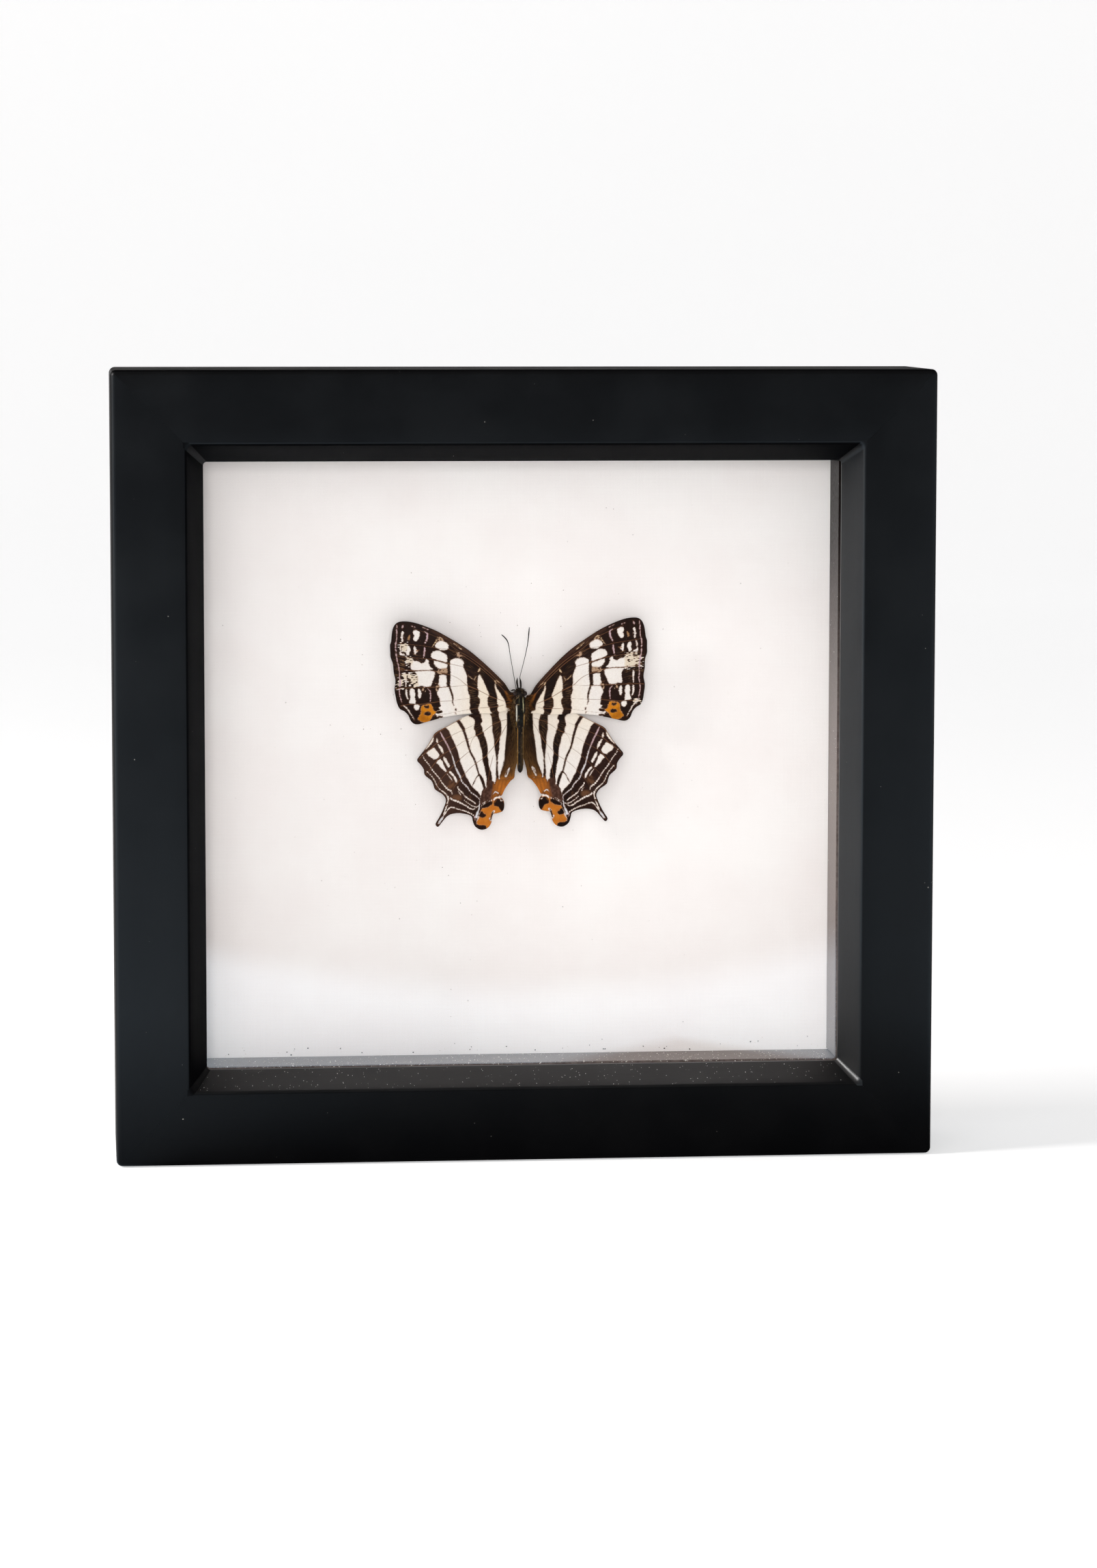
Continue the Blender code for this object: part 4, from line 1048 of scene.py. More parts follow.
HINDWING_VEINS = [
    [(2.4, 7.2, 0.08), (3.8, 4.9, 0.11), (5.0, 3.1, 0.11), (6.0, 1.95, 0.10),
     (6.9, 1.0, 0.10), (9.1, -0.45, 0.10), (10.9, -2.1, 0.10), (12.9, -4.4, 0.08)],
    [(5.3, 1.3, 0.07), (5.75, -0.2, 0.10), (6.05, -1.2, 0.10), (6.4, -3.4, 0.08)],
    [(2.6, 7.9, 0.10), (5.0, 7.1, 0.10), (7.2, 5.6, 0.09), (9.0, 4.6, 0.07),
     (9.9, 2.1, 0.06)],
    [(9.9, 2.1, 0.09), (11.6, 0.8, 0.09), (13.6, -1.1, 0.08), (15.4, -3.0, 0.07),
     (16.4, -4.6, 0.08)],
    [(7.2, 5.6, 0.06), (10.6, 4.2, 0.07), (12.4, 3.1, 0.08), (14.9, 1.7, 0.09),
     (16.2, 0.4, 0.12), (17.2, -0.8, 0.08), (18.2, -1.8, 0.08)],
    [(9.0, 7.0, 0.06), (10.9, 6.2, 0.07), (13.0, 5.3, 0.08), (15.9, 3.9, 0.10),
     (17.0, 2.9, 0.14), (18.2, 2.1, 0.10), (19.2, 1.2, 0.08)],
    [(11.0, 8.35, 0.12), (13.0, 7.45, 0.16), (14.6, 6.6, 0.2), (16.1, 5.6, 0.12),
     (17.2, 4.0, 0.16), (18.3, 2.6, 0.12)],
    [(12.9, -4.4, 0.05), (13.8, -6.6, 0.06), (14.6, -8.0, 0.06)],
]

# ---------------------------------------------------------------- wings

WING_SPACING = 0.11
WING_THICKNESS = 0.09
FOREWING_DEPTH = 15.3
HINDWING_DEPTH = 15.8
VEIN_HEIGHT = 0.05
EDGE_FRINGE = 0.07
# How deep the wings droop towards the board this far out, and how far their tips lift again.
WING_DROOP = 0.55
WING_REACH = 24.0
TIP_LIFT = 0.25
FOREWING_ROOT = (0.5, 10.6)
HINDWING_ROOT = (0.5, 9.0)
GRAIN_RADIUS = 13.0
RUBBED_COLOR = (216, 202, 180)


def wing_grid(edge):
    """Fill a closed outline with a fine quad grid whose rim follows the outline."""
    ring = smooth_curve(edge, 6)
    low = ring.min(0) - WING_SPACING
    high = ring.max(0) + WING_SPACING
    count = np.ceil((high - low) / WING_SPACING).astype(int) + 1
    gx, gy = np.meshgrid(np.arange(count[0]), np.arange(count[1]), indexing="ij")
    points = low + np.stack([gx.ravel(), gy.ravel()], axis=1) * WING_SPACING
    start, run = ring, np.roll(ring, -1, axis=0) - ring
    best = np.full(len(points), 1e9)
    rim = points.copy()
    for a, d in zip(start, run):
        gap = points - a
        t = np.clip((gap @ d) / max(d @ d, 1e-12), 0.0, 1.0)
        foot = a + t[:, None] * d
        away = np.hypot(*(points - foot).T)
        closer = away < best
        best[closer] = away[closer]
        rim[closer] = foot[closer]
    core = inside_of(points, ring) & (best > WING_SPACING * 0.45)
    points[~core] = rim[~core]
    index = np.arange(len(points)).reshape(count)
    quads = np.stack([index[:-1, :-1], index[1:, :-1], index[1:, 1:], index[:-1, 1:]], axis=-1)
    quads = quads.reshape(-1, 4)
    quads = quads[core[quads].any(axis=1)]
    corner = points[quads]
    diagonal = corner[:, [2, 3]] - corner[:, [0, 1]]
    area = 0.5 * (diagonal[:, 0, 0] * diagonal[:, 1, 1] - diagonal[:, 0, 1] * diagonal[:, 1, 0])
    quads = quads[area > (WING_SPACING * 0.2) ** 2]
    used = np.unique(quads)
    renumber = np.full(len(points), -1)
    renumber[used] = np.arange(len(used))
    return points[used], renumber[quads], np.where(core[used], best[used], 0.0)


def wing_grain(points, root):
    """Distances along and across the veins, which fan out from the wing's root."""
    across, up = (points - root).T
    return rows_of(np.hypot(across, up), np.arctan2(up, across) * GRAIN_RADIUS)


def margin_color(up):
    """Linear colours of the hairy inner margin at some heights."""
    heights, colors = zip(*INNER_MARGIN_COLORS)
    return rows_of(*(np.interp(up, heights, band) for band in linear(colors).T))


class WingPaint:
    """Markings of one wing, as a dark field and two colours for every point."""

    def __init__(self, points, light, deep):
        self.points = points
        self.dark = np.full(len(points), -REACH)
        self.light = np.tile(linear(light), (len(points), 1))
        self.deep = np.tile(linear(deep), (len(points), 1))
        self.vein = np.full(len(points), -REACH)
        self.worn = np.zeros(len(points))

    def noise(self, size, seed):
        """Smooth noise over the wing."""
        return value_noise(self.points, size, seed)

    def add_dark(self, field):
        """Make the wing dark where the field is positive, and return the field."""
        self.dark = np.maximum(self.dark, field)
        return field

    def cut_dark(self, field):
        """Make the wing pale where the field is positive, and return the field."""
        self.dark = np.minimum(self.dark, -field)
        return field

    def blend(self, which, share, color):
        """Blend a linear colour into the light or deep colours, by each point's share."""
        colors = getattr(self, which)
        colors += (color - colors) * share[:, None]

    def tint(self, which, field, color, soft=0.12, strength=1.0):
        """Blend a colour in where the field is positive, over a soft edge."""
        self.blend(which, np.clip(field / soft + 0.5, 0.0, 1.0) * strength, linear(color))

    def add_pale_line(self, color, route):
        """Draw a pale line through the dark ground."""
        field = self.cut_dark(stroke(self.points, route))
        self.tint("light", field + 0.1, color, 0.1)

    def add_veins(self, routes):
        """Draw the veins."""
        for route in routes:
            self.vein = np.maximum(self.vein, stroke(self.points, route))

    def wear(self, field, soft, strength):
        """Let the scales thin out to bare hairs where the field is positive."""
        patches = np.clip(0.6 + 0.9 * self.noise(1.6, 77), 0.0, 1.0)
        share = np.clip(field / soft + 0.5, 0.0, 1.0) * strength * patches
        self.worn = np.maximum(self.worn, share)


def paint_forewing(points, side):
    """Paint the forewing's markings."""
    paint = WingPaint(points, WHITE, DARK_BROWN)
    x, y = points.T
    near_root = np.clip((13.0 - np.hypot(x - 1.0, y - 9.5)) / 6.0, 0, 1)
    paint.blend("light", near_root * 0.75, linear(CREAM))
    paint.blend("deep", np.clip((14.0 - x) / 8.0, 0, 1) * 0.7, linear(BLACK_BROWN))
    paint.dark[:] = REACH
    for outline in FOREWING_WINDOWS:
        paint.cut_dark(blob(points, outline))
    speckle = paint.noise(0.22, 5) * 0.35
    for patch in FOREWING_TAN_PATCHES:
        field = blob(points, patch)
        paint.cut_dark(field - 0.1 + speckle)
        paint.tint("light", field + 0.15, TAN, 0.3, 0.85)
    streaks = value_noise(points * (0.5, 1.5), 0.22, 7) * 0.75 + paint.noise(0.5, 8) * 0.2
    for patch in FOREWING_RUBBED[side]:
        field = blob(points, patch)
        paint.cut_dark(np.minimum(field + 0.15, 0.25) + streaks)
        paint.tint("light", field + 0.3, RUBBED_COLOR, 0.3, 0.9)
    for color, route in FOREWING_LINES:
        paint.add_pale_line(color, route)
    orange = paint.cut_dark(blob(points, FOREWING_ORANGE))
    paint.tint("light", orange + 0.06, ORANGE)
    paint.tint("light", np.minimum(orange, paint.noise(0.4, 9) * 0.5), OCHRE, 0.6, 0.5)
    lower = np.minimum(orange, (x - 18.2) * 0.5 - (y - 9.3) * 0.4)
    paint.tint("light", lower + paint.noise(0.3, 10) * 0.3, (136, 76, 10), 0.9, 0.65)
    for route in FOREWING_ORANGE_SPOTS + FOREWING_BARS:
        paint.add_dark(stroke(points, route))
    paint.add_veins(FOREWING_VEINS)
    paint.tint("deep", stroke(points, FOREWING_ROOT_STREAK), (150, 88, 26), 0.3, 0.8)
    costal = stroke(points, FOREWING_COSTAL_STREAK)
    paint.tint("deep", costal, (78, 50, 38), 0.6, 0.6)
    paint.wear(costal, 1.2, 0.75)
    paint.wear(11.5 - np.hypot(x - 4.0, y - 12.0), 6.0, 0.55)
    paint.wear(3.2 - np.hypot(x - 21.0, y - 17.5), 1.6, 0.6)
    return paint


def paint_inner_margin(paint):
    """Paint the hindwing's hairy inner margin and the small window in it."""
    x, y = paint.points.T
    margin = paint.add_dark(blob(paint.points, INNER_MARGIN))
    share = np.clip(margin / 0.5 + 0.5, 0, 1)
    paint.blend("deep", share, margin_color(y))
    near_body = np.clip((2.2 - x) / 1.2, 0, 1) * share
    paint.blend("deep", near_body * 0.4, linear((112, 82, 42)))
    paint.tint("deep", stroke(paint.points, INNER_MARGIN_EDGE), BLACK_BROWN, 0.6, 0.75)
    paint.cut_dark(stroke(paint.points, INNER_WINDOW))
    paint.add_dark(stroke(paint.points, INNER_WINDOW_CORE))


def paint_tornus(paint, grain):
    """Paint the brown and ochre corner of the hindwing and its tailed lobe."""
    points = paint.points
    brown = paint.add_dark(blob(points, TORNAL_BROWN))
    paint.tint("deep", brown, (60, 37, 27), 0.4, 0.9)
    paint.tint("deep", np.minimum(brown, paint.noise(0.35, 14) * 0.5), (112, 78, 66), 0.4, 0.4)
    ochre = paint.add_dark(blob(points, TORNAL_OCHRE))
    paint.tint("deep", ochre, OCHRE, 0.8)
    upper = np.clip((points[:, 1] + 4.7) / 1.6, 0, 1) * np.clip(ochre / 0.6 + 0.5, 0, 1)
    paint.blend("deep", upper * 0.85, linear((132, 80, 30)))
    streaky = value_noise(grain * (0.3, 1.6), 0.5, 15)
    paint.tint("deep", np.minimum(ochre, streaky * 0.5), (124, 70, 24), 0.5, 0.6)
    lobe = paint.cut_dark(blob(points, LOBE_OCHRE))
    paint.tint("light", lobe + 0.06, OCHRE, 0.16)
    glow = np.minimum(lobe, paint.noise(0.6, 11) * 0.6)
    paint.tint("light", glow, (194, 122, 38), 0.6, 0.5)
    for outline in LOBE_BLACK:
        paint.add_dark(blob(points, outline))
    for route in LOBE_PALE:
        paint.add_pale_line(WHITE, route)
    paint.add_dark(stroke(points, LOBE_VEIN))


def paint_hindwing(points, side):
    """Paint the hindwing's markings."""
    ground, outer = ((BLACK_BROWN, (40, 22, 17)) if side == "right"
                     else (DARK_BROWN, CHOCOLATE))
    paint = WingPaint(points, WHITE, ground)
    x, y = points.T
    paint.blend("light", np.clip((y + 1.0) / 9.0, 0, 1) * 0.55, linear(CREAM))
    paint.blend("deep", np.clip((x - 8.0) / 6.0, 0, 1) * 0.8, linear(outer))
    for outline in (HINDWING_BAND_ONE, HINDWING_BAND_TWO):
        paint.add_dark(blob(points, outline))
    for route in HINDWING_BARS:
        paint.add_dark(stroke(points, route))
    paint.add_dark(blob(points, HINDWING_OUTER, 2))
    for outline in HINDWING_WINDOWS:
        paint.cut_dark(blob(points, outline))
    grain = wing_grain(points, HINDWING_ROOT)
    feather = value_noise(grain * (0.25, 2.2), 0.6, 13) * 0.8
    for patch in HINDWING_TAN_PATCHES:
        paint.tint("deep", np.minimum(blob(points, patch), feather), (120, 80, 52), 0.5, 0.6)
    paint.wear(4.2 - np.hypot(x - 5.0, y - 7.0), 2.5, 0.65)
    for color, route in HINDWING_LINES:
        paint.add_pale_line(color, route)
    paint_inner_margin(paint)
    paint_tornus(paint, grain)
    paint.add_veins(HINDWING_VEINS)
    return paint


def set_wing(points, side, setting):
    """Stand right-wing coordinates in their place on either side."""
    if side == "right":
        return points
    degrees, pivot, drop = setting
    c, s = math.cos(math.radians(degrees)), math.sin(math.radians(degrees))
    moved = (points - pivot) @ np.array([[c, s], [-s, c]]) + pivot
    return np.stack([-moved[:, 0], moved[:, 1] - drop], axis=1)


def wing_lift(points):
    """Depth of the gentle curve that all four dried wings share, towards the board."""
    x, y = points.T
    droop = WING_DROOP * (np.clip(x, 0, None) / WING_REACH) ** 2
    return droop - TIP_LIFT * np.clip((y - 20.0) / 6.0, 0, 1) ** 2


def make_wing(name, side, edge, paint_wing, depth, setting, material, seed):
    """Build one wing: a fine sheet with raised veins, pleats and stored markings."""
    points, quads, inward = wing_grid(edge)
    paint = paint_wing(points, side)
    paint.tint("light", EDGE_FRINGE - inward, CHOCOLATE, 0.06, 0.25)
    ridge = np.clip((paint.vein + 0.10) / 0.14, 0, 1)
    pleat = value_noise(points, 2.6, seed) * 0.07 + value_noise(points, 0.9, seed + 1) * 0.015
    wave = wing_lift(points) - ridge * VEIN_HEIGHT + pleat
    rim = np.clip(1 - inward / 0.5, 0, 1)
    wave += rim * value_noise(points, 1.3, seed + 2) * 0.05
    across, up = set_wing(points, side, setting).T
    faces = quads if side == "right" else quads[:, ::-1]
    item = add_mesh(name + "_scales", place_all(across, up, depth + wave), faces, material)
    for key in ("dark", "vein", "worn"):
        store(item, key, getattr(paint, key))
    for key in ("light", "deep"):
        store_color(item, key, getattr(paint, key))
    root = FOREWING_ROOT if name.startswith("forewing") else HINDWING_ROOT
    grain = np.insert(wing_grain(points, root), 2, 0.0, axis=1)
    store(item, "grain", grain, "FLOAT_VECTOR", "vector")
    thick = item.modifiers.new("thickness", "SOLIDIFY")
    thick.thickness = WING_THICKNESS * MM
    thick.offset = 0.0
    return add_piece(item, "wing_scales", name)


def make_wings():
    """Build the four wings."""
    scales = wing_material()
    for side in ("right", "left"):
        make_wing(f"forewing_{side}", side, FOREWING_EDGE, paint_forewing, FOREWING_DEPTH,
                  FOREWING_SET, scales, 21 if side == "right" else 41)
        make_wing(f"hindwing_{side}", side, HINDWING_EDGE, paint_hindwing, HINDWING_DEPTH,
                  HINDWING_SET, scales, 31 if side == "right" else 51)


# ---------------------------------------------------------------- body

# Body sections: height, half width, half depth, depth of the middle.
BODY_SECTIONS = [
    (-2.30, 0.10, 0.10, 14.70), (-2.10, 0.34, 0.34, 14.69), (-1.60, 0.50, 0.50, 14.68),
    (-0.60, 0.62, 0.62, 14.66), (2.00, 0.68, 0.66, 14.64), (4.50, 0.72, 0.70, 14.64),
    (5.80, 0.82, 0.80, 14.70), (6.60, 1.10, 1.05, 14.95), (7.60, 1.50, 1.42, 15.25),
    (9.20, 1.70, 1.54, 15.40), (10.70, 1.60, 1.46, 15.40), (11.60, 1.20, 1.14, 15.35),
    (12.00, 0.85, 0.84, 15.30), (12.35, 0.98, 0.85, 15.25), (12.80, 1.04, 0.88, 15.20),
    (13.30, 0.72, 0.64, 15.20), (13.62, 0.20, 0.20, 15.20),
]
# Lines along the body: middle, width, low end, high end, colour, strength.
BODY_LINES = [
    (0.0, 0.50, 6.8, 11.8, (9, 14, 11), 0.8), (-1.30, 0.35, 6.6, 12.0, (92, 58, 24), 0.7),
    (1.30, 0.35, 6.6, 12.0, (92, 58, 24), 0.7), (0.50, 0.06, 9.0, 11.9, (224, 216, 168), 0.9),
    (-0.22, 0.04, 9.6, 12.0, (120, 118, 88), 0.5),
    (-0.72, 0.09, 7.2, 10.6, (238, 234, 218), 0.95),
    (-0.80, 0.14, 6.2, 7.6, (178, 140, 78), 0.8), (0.70, 0.12, 6.2, 9.0, (168, 128, 66), 0.8),
    (-0.52, 0.08, -1.7, 6.4, (150, 108, 50), 0.8), (0.52, 0.08, -1.7, 6.4, (158, 118, 60), 0.8),
    (0.0, 0.22, -2.2, 6.4, (16, 10, 7), 0.7), (0.12, 0.05, -1.8, 5.0, (120, 92, 54), 0.5),
]
BODY_RINGS = 170
BODY_SIDES = 76
SEGMENT_LENGTH = 1.05
ABDOMEN_TOP = 6.2


def body_shape(up, turn):
    """Point of the body's skin at a height and an angle, in millimetres."""
    table = np.array(BODY_SECTIONS)
    wide, deep, middle = (np.interp(up, table[:, 0], table[:, k]) for k in (1, 2, 3))
    on_abdomen = np.clip((ABDOMEN_TOP - up) / 0.8, 0, 1)
    groove = 1 - 0.07 * on_abdomen * np.abs(np.cos(np.pi * up / SEGMENT_LENGTH)) ** 10
    across = wide * groove * np.cos(turn)
    depth = middle + deep * groove * np.sin(turn)
    return across, depth


def body_color(across, up):
    """Colour of the body from above: dark, with cream and green-grey lines and pale flecks."""
    colors = np.tile(linear((16, 10, 6)), (len(up), 1))
    for middle, width, low, high, color, strength in BODY_LINES:
        along = np.clip((up - low) / 0.5, 0, 1) * np.clip((high - up) / 0.5, 0, 1)
        share = np.clip(1.4 - np.abs(across - middle) / width, 0, 1) * along * strength
        colors += (linear(color) - colors) * share[:, None]
    surface = rows_of(across, up)
    flecks = value_noise(surface, 0.31, 67) + 0.8 * value_noise(surface, 0.17, 71)
    strength = np.clip((flecks - 0.7) * 1.5, 0, 0.5) * np.clip(np.abs(across) / 0.5, 0.1, 1)
    return colors + (linear((168, 140, 100)) - colors) * strength[:, None]


def make_body(skin, hair):
    """Build head, thorax and abdomen as one skin, then its hair."""
    ups = np.linspace(BODY_SECTIONS[0][0], BODY_SECTIONS[-1][0], BODY_RINGS)
    turns = np.arange(BODY_SIDES) * math.tau / BODY_SIDES
    up, turn = (g.ravel() for g in np.meshgrid(ups, turns, indexing="ij"))
    across, depth = body_shape(up, turn)
    bumps = value_noise(rows_of(up * 1.7, turn * 1.3), 0.35, 61) * 0.02
    item = add_shell("butterfly_body_skin", place_all(across, up, depth - bumps),
                     tube_faces(BODY_RINGS, BODY_SIDES), skin)
    store_color(item, "tint", body_color(across, up))
    add_piece(item, "dark_body", "butterfly_body")
    make_fur(hair)


# A hair's faces, over two rings of three points and a tip.
SPIKE_FACES = ((0, 2, 1), (0, 1, 4, 3), (1, 2, 5, 4), (2, 0, 3, 5), (3, 4, 6), (4, 5, 6),
               (5, 3, 6))


def spikes(name, roots, ways, lengths, widths, colors, material, droop=0.0):
    """Make hairs as closed, bent, three-sided spikes joined in one mesh."""
    ways = ways / np.linalg.norm(ways, axis=1)[:, None]
    helper = np.where(np.abs(ways[:, [2]]) < 0.9, [[0.0, 0.0, 1.0]], [[1.0, 0.0, 0.0]])
    side = np.cross(ways, helper)
    side /= np.linalg.norm(side, axis=1)[:, None]
    other = np.cross(ways, side)
    sag = np.array([0.0, droop, 0.0])
    lengths = lengths[:, None]
    points = []
    for share, girth in ((0.0, 1.0), (0.55, 0.7)):
        middle = roots + ways * lengths * share + sag * lengths * share ** 2
        for angle in (0.0, math.tau / 3, math.tau * 2 / 3):
            offset = side * math.cos(angle) + other * math.sin(angle)
            points.append(middle + offset * (widths * girth / 2)[:, None])
    points.append(roots + ways * lengths + sag * lengths)
    across, depth, up = np.stack(points, axis=1).reshape(-1, 3).T
    faces = [[v + len(points) * k for v in face] for k in range(len(roots))
             for face in SPIKE_FACES]
    item = add_mesh(name, place_all(across, up, depth), faces, material)
    store_color(item, "tint", np.repeat(colors, len(points), axis=0))
    return add_piece(item, "dark_body")


def pick(random, palette, count):
    """Draw colours from a palette at random, and turn them into linear light."""
    return linear(palette)[random.integers(0, len(palette), count)]


def coat(random, material, name, count, low, high, length, lean, palette, width=0.035,
         bare=0.0):
    """Cover the body's front with hair between two heights, leaning (across, depth, up)."""
    up = random.uniform(low, high, count)
    turn = random.uniform(math.pi * 0.98, math.pi * 2.02, count)
    up, turn = (v[np.abs(np.cos(turn)) >= bare] for v in (up, turn))
    count = len(up)
    across, depth = body_shape(up, turn)
    ways = rows_of(np.cos(turn), np.sin(turn), 0.0) + lean + random.normal(0, 0.22, (count, 3))
    colors = pick(random, palette, count)
    spikes(name, rows_of(across, depth, up), ways, random.uniform(0.5, 1.0, count) * length,
           random.uniform(0.6, 1.0, count) * width, colors, material, droop=0.25)


def make_margin_hair(random, material, count=1500):
    """Lay long hair over the hindwings' inner margins."""
    side = random.choice([-1.0, 1.0], count)
    up = random.uniform(-3.0, 8.8, count)
    inner = np.interp(up, [-3.2, -1.0, 0.6, 4.0, 6.5, 9.0], [1.5, 1.15, 0.75, 0.7, 1.1, 1.8])
    outer = np.interp(up, [-3.2, -1.0, 1.0, 4.0, 9.0], [3.8, 3.3, 2.8, 2.5, 2.2])
    across = inner + (outer - inner) * random.uniform(0, 1, count)
    depth = HINDWING_DEPTH - 0.06 + WING_DROOP * (across / WING_REACH) ** 2
    ways = rows_of(side * random.normal(0.22, 0.12, count),
                   -random.uniform(0.02, 0.22, count), -1.0)
    colors = margin_color(up - 0.4) * random.uniform(0.5, 1.4, count)[:, None]
    spikes("inner_margin_hair", rows_of(side * across, depth, up), ways,
           random.uniform(0.5, 1.1, count), random.uniform(0.02, 0.04, count), colors, material)


def make_root_hair(random, material, count=420):
    """Tuft the wings' roots beside the thorax."""
    side = random.choice([-1.0, 1.0], count)
    up = random.uniform(9.2, 12.3, count)
    roots = rows_of(side * random.uniform(1.1, 2.2, count),
                    15.1 + random.uniform(-0.25, 0.1, count), up)
    ways = rows_of(side, -random.uniform(0.0, 0.3, count), random.normal(0.2, 0.3, count))
    spikes("wing_root_hair", roots, ways, random.uniform(0.4, 0.9, count),
           random.uniform(0.025, 0.045, count),
           pick(random, ((34, 22, 13), (96, 62, 26), (160, 98, 34)), count), material)


def make_fur(material):
    """Grow the hair of the thorax, head, abdomen and the wings' inner margins."""
    random = np.random.default_rng(7)
    coat(random, material, "thorax_hair", 2600, 6.4, 11.9, 0.5, (0.0, 0.1, -0.9),
         [(14, 8, 4), (44, 27, 12), (10, 6, 3), (104, 68, 28), (24, 14, 7), (150, 122, 80)],
         bare=0.5)
    coat(random, material, "thorax_back_hair", 420, 6.6, 11.8, 0.34, (0.0, 0.2, -1.2),
         [(16, 12, 8), (10, 8, 5), (52, 40, 22)], 0.026)
    coat(random, material, "head_hair", 420, 12.1, 13.5, 0.42, (0.0, 0.0, 0.7),
         [(38, 26, 18), (92, 66, 40), (26, 18, 12)])
    coat(random, material, "abdomen_hair", 700, -1.9, 6.4, 0.20, (0.0, 0.2, -1.6),
         [(20, 12, 7), (84, 56, 26), (12, 8, 5)], 0.024)
    make_margin_hair(random, material)
    make_root_hair(random, material)


# ---------------------------------------------------------------- limbs and eyes

LIMB_SIDES = 10
LIMB_STEPS = 6
EYE_RINGS = 15
EYE_SIDES = 22
EYE_CENTRE = (0.92, 12.55, 15.0)
EYE_RADII = (0.42, 0.46, 0.50)
ANTENNA_RADII = [0.08, 0.06, 0.055, 0.055, 0.06, 0.07, 0.09, 0.11, 0.07]
ANTENNA_DEPTHS = [15.35] + [15.65] * 8
ANTENNAE = {
    "left": [(-0.62, 13.2), (-0.75, 13.95), (-1.10, 15.8), (-1.45, 17.8), (-1.80, 19.8),
             (-2.00, 21.2), (-2.25, 22.2), (-2.70, 22.9), (-3.40, 23.55)],
    "right": [(0.22, 13.2), (0.10, 13.95), (0.05, 15.5), (0.45, 17.2), (0.95, 19.2),
              (1.35, 21.0), (1.60, 22.6), (1.72, 23.8), (1.80, 24.9)],
}
PALPS = {
    "left": [(-0.34, 13.1), (-0.44, 13.85), (-0.56, 14.7), (-0.48, 15.5)],
    "right": [(0.12, 13.1), (0.16, 13.85), (0.12, 14.7), (-0.04, 15.5)],
}
FORELEG = [(-0.85, 13.2), (-1.2, 13.22), (-1.5, 13.14), (-1.78, 13.02)]


def limb(name, node, route, radii, depths, colors, material):
    """Build an antenna, palp or leg along a smooth route, in place of its CAD node."""
    line = smooth_curve([(x, y, r, d) for (x, y), r, d in zip(route, radii, depths)],
                        LIMB_STEPS, closed=False)
    forward = np.gradient(line[:, :2], axis=0)
    forward /= np.linalg.norm(forward, axis=1)[:, None]
    turn = np.arange(LIMB_SIDES) * math.tau / LIMB_SIDES
    across, up, radius, depth = (v[:, None] for v in line.T)
    out = radius * np.cos(turn)
    vertices = place_all(across + forward[:, 1:] * out, up - forward[:, :1] * out,
                         depth + radius * np.sin(turn)).reshape(-1, 3)
    item = add_shell(name, vertices, tube_faces(len(line), LIMB_SIDES), material)
    share = np.repeat(np.linspace(0, 1, len(line)), LIMB_SIDES)[:, None]
    store_color(item, "tint", linear(colors[0]) * (1 - share) + linear(colors[1]) * share)
    return add_piece(item, "dark_body", node)


def make_limbs(material):
    """Build antennae, palps and the folded foreleg."""
    shaft = ((70, 66, 64), (14, 12, 12))
    palp = ((34, 22, 14), (20, 14, 10))
    for side, route in ANTENNAE.items():
        limb(f"antenna_{side}_shaft", f"antenna_{side}", route, ANTENNA_RADII, ANTENNA_DEPTHS,
             shaft, material)
    for side, route in PALPS.items():
        limb(f"palp_{side}_scaled", f"palp_{side}", route, [0.14, 0.15, 0.17, 0.05],
             [15.1] * 4, palp, material)
    limb("foreleg_left_folded", "foreleg_left", FORELEG, [0.08, 0.13, 0.12, 0.04],
         [15.05] * 4, palp, material)


def make_eyes():
    """Build the two compound eyes."""
    material = eye_material()
    polar, turn = np.meshgrid(np.linspace(0, math.pi, EYE_RINGS),
                              np.arange(EYE_SIDES) * math.tau / EYE_SIDES, indexing="ij")
    across, up, depth = (radius * part for radius, part in zip(EYE_RADII, (
        np.cos(polar), np.sin(polar) * np.cos(turn), np.sin(polar) * np.sin(turn))))
    for side, sign in (("left", -1), ("right", 1)):
        vertices = place_all(sign * EYE_CENTRE[0] + across, EYE_CENTRE[1] + up,
                             EYE_CENTRE[2] + depth).reshape(-1, 3)
        item = add_shell(f"eye_{side}", vertices, tube_faces(EYE_RINGS, EYE_SIDES), material,
                         weld=1e-7)
        add_piece(item, "dark_body")


# ---------------------------------------------------------------- dust

# Heights and depths that the dust lies at.
LEDGE_UP = -HALF_OPENING_UP
SCALES_DEPTH = 19.80
PANE_DUST_DEPTH = 7.16
# How far out from the middle the scales on the board lie, and how far up and down.
BOARD_LIMITS = (57.0, 54.0)
LOOSE_SCALES = 170
FALLEN_SCALES = 30
SETTLED_GRAINS = 460
BEVEL_GRAINS = 260
PANE_GRAINS = 240
# A grain's thickness as a share of its size, against an upright face or on a level one.
THICKNESS = {"depth": 0.12, "up": 0.4}


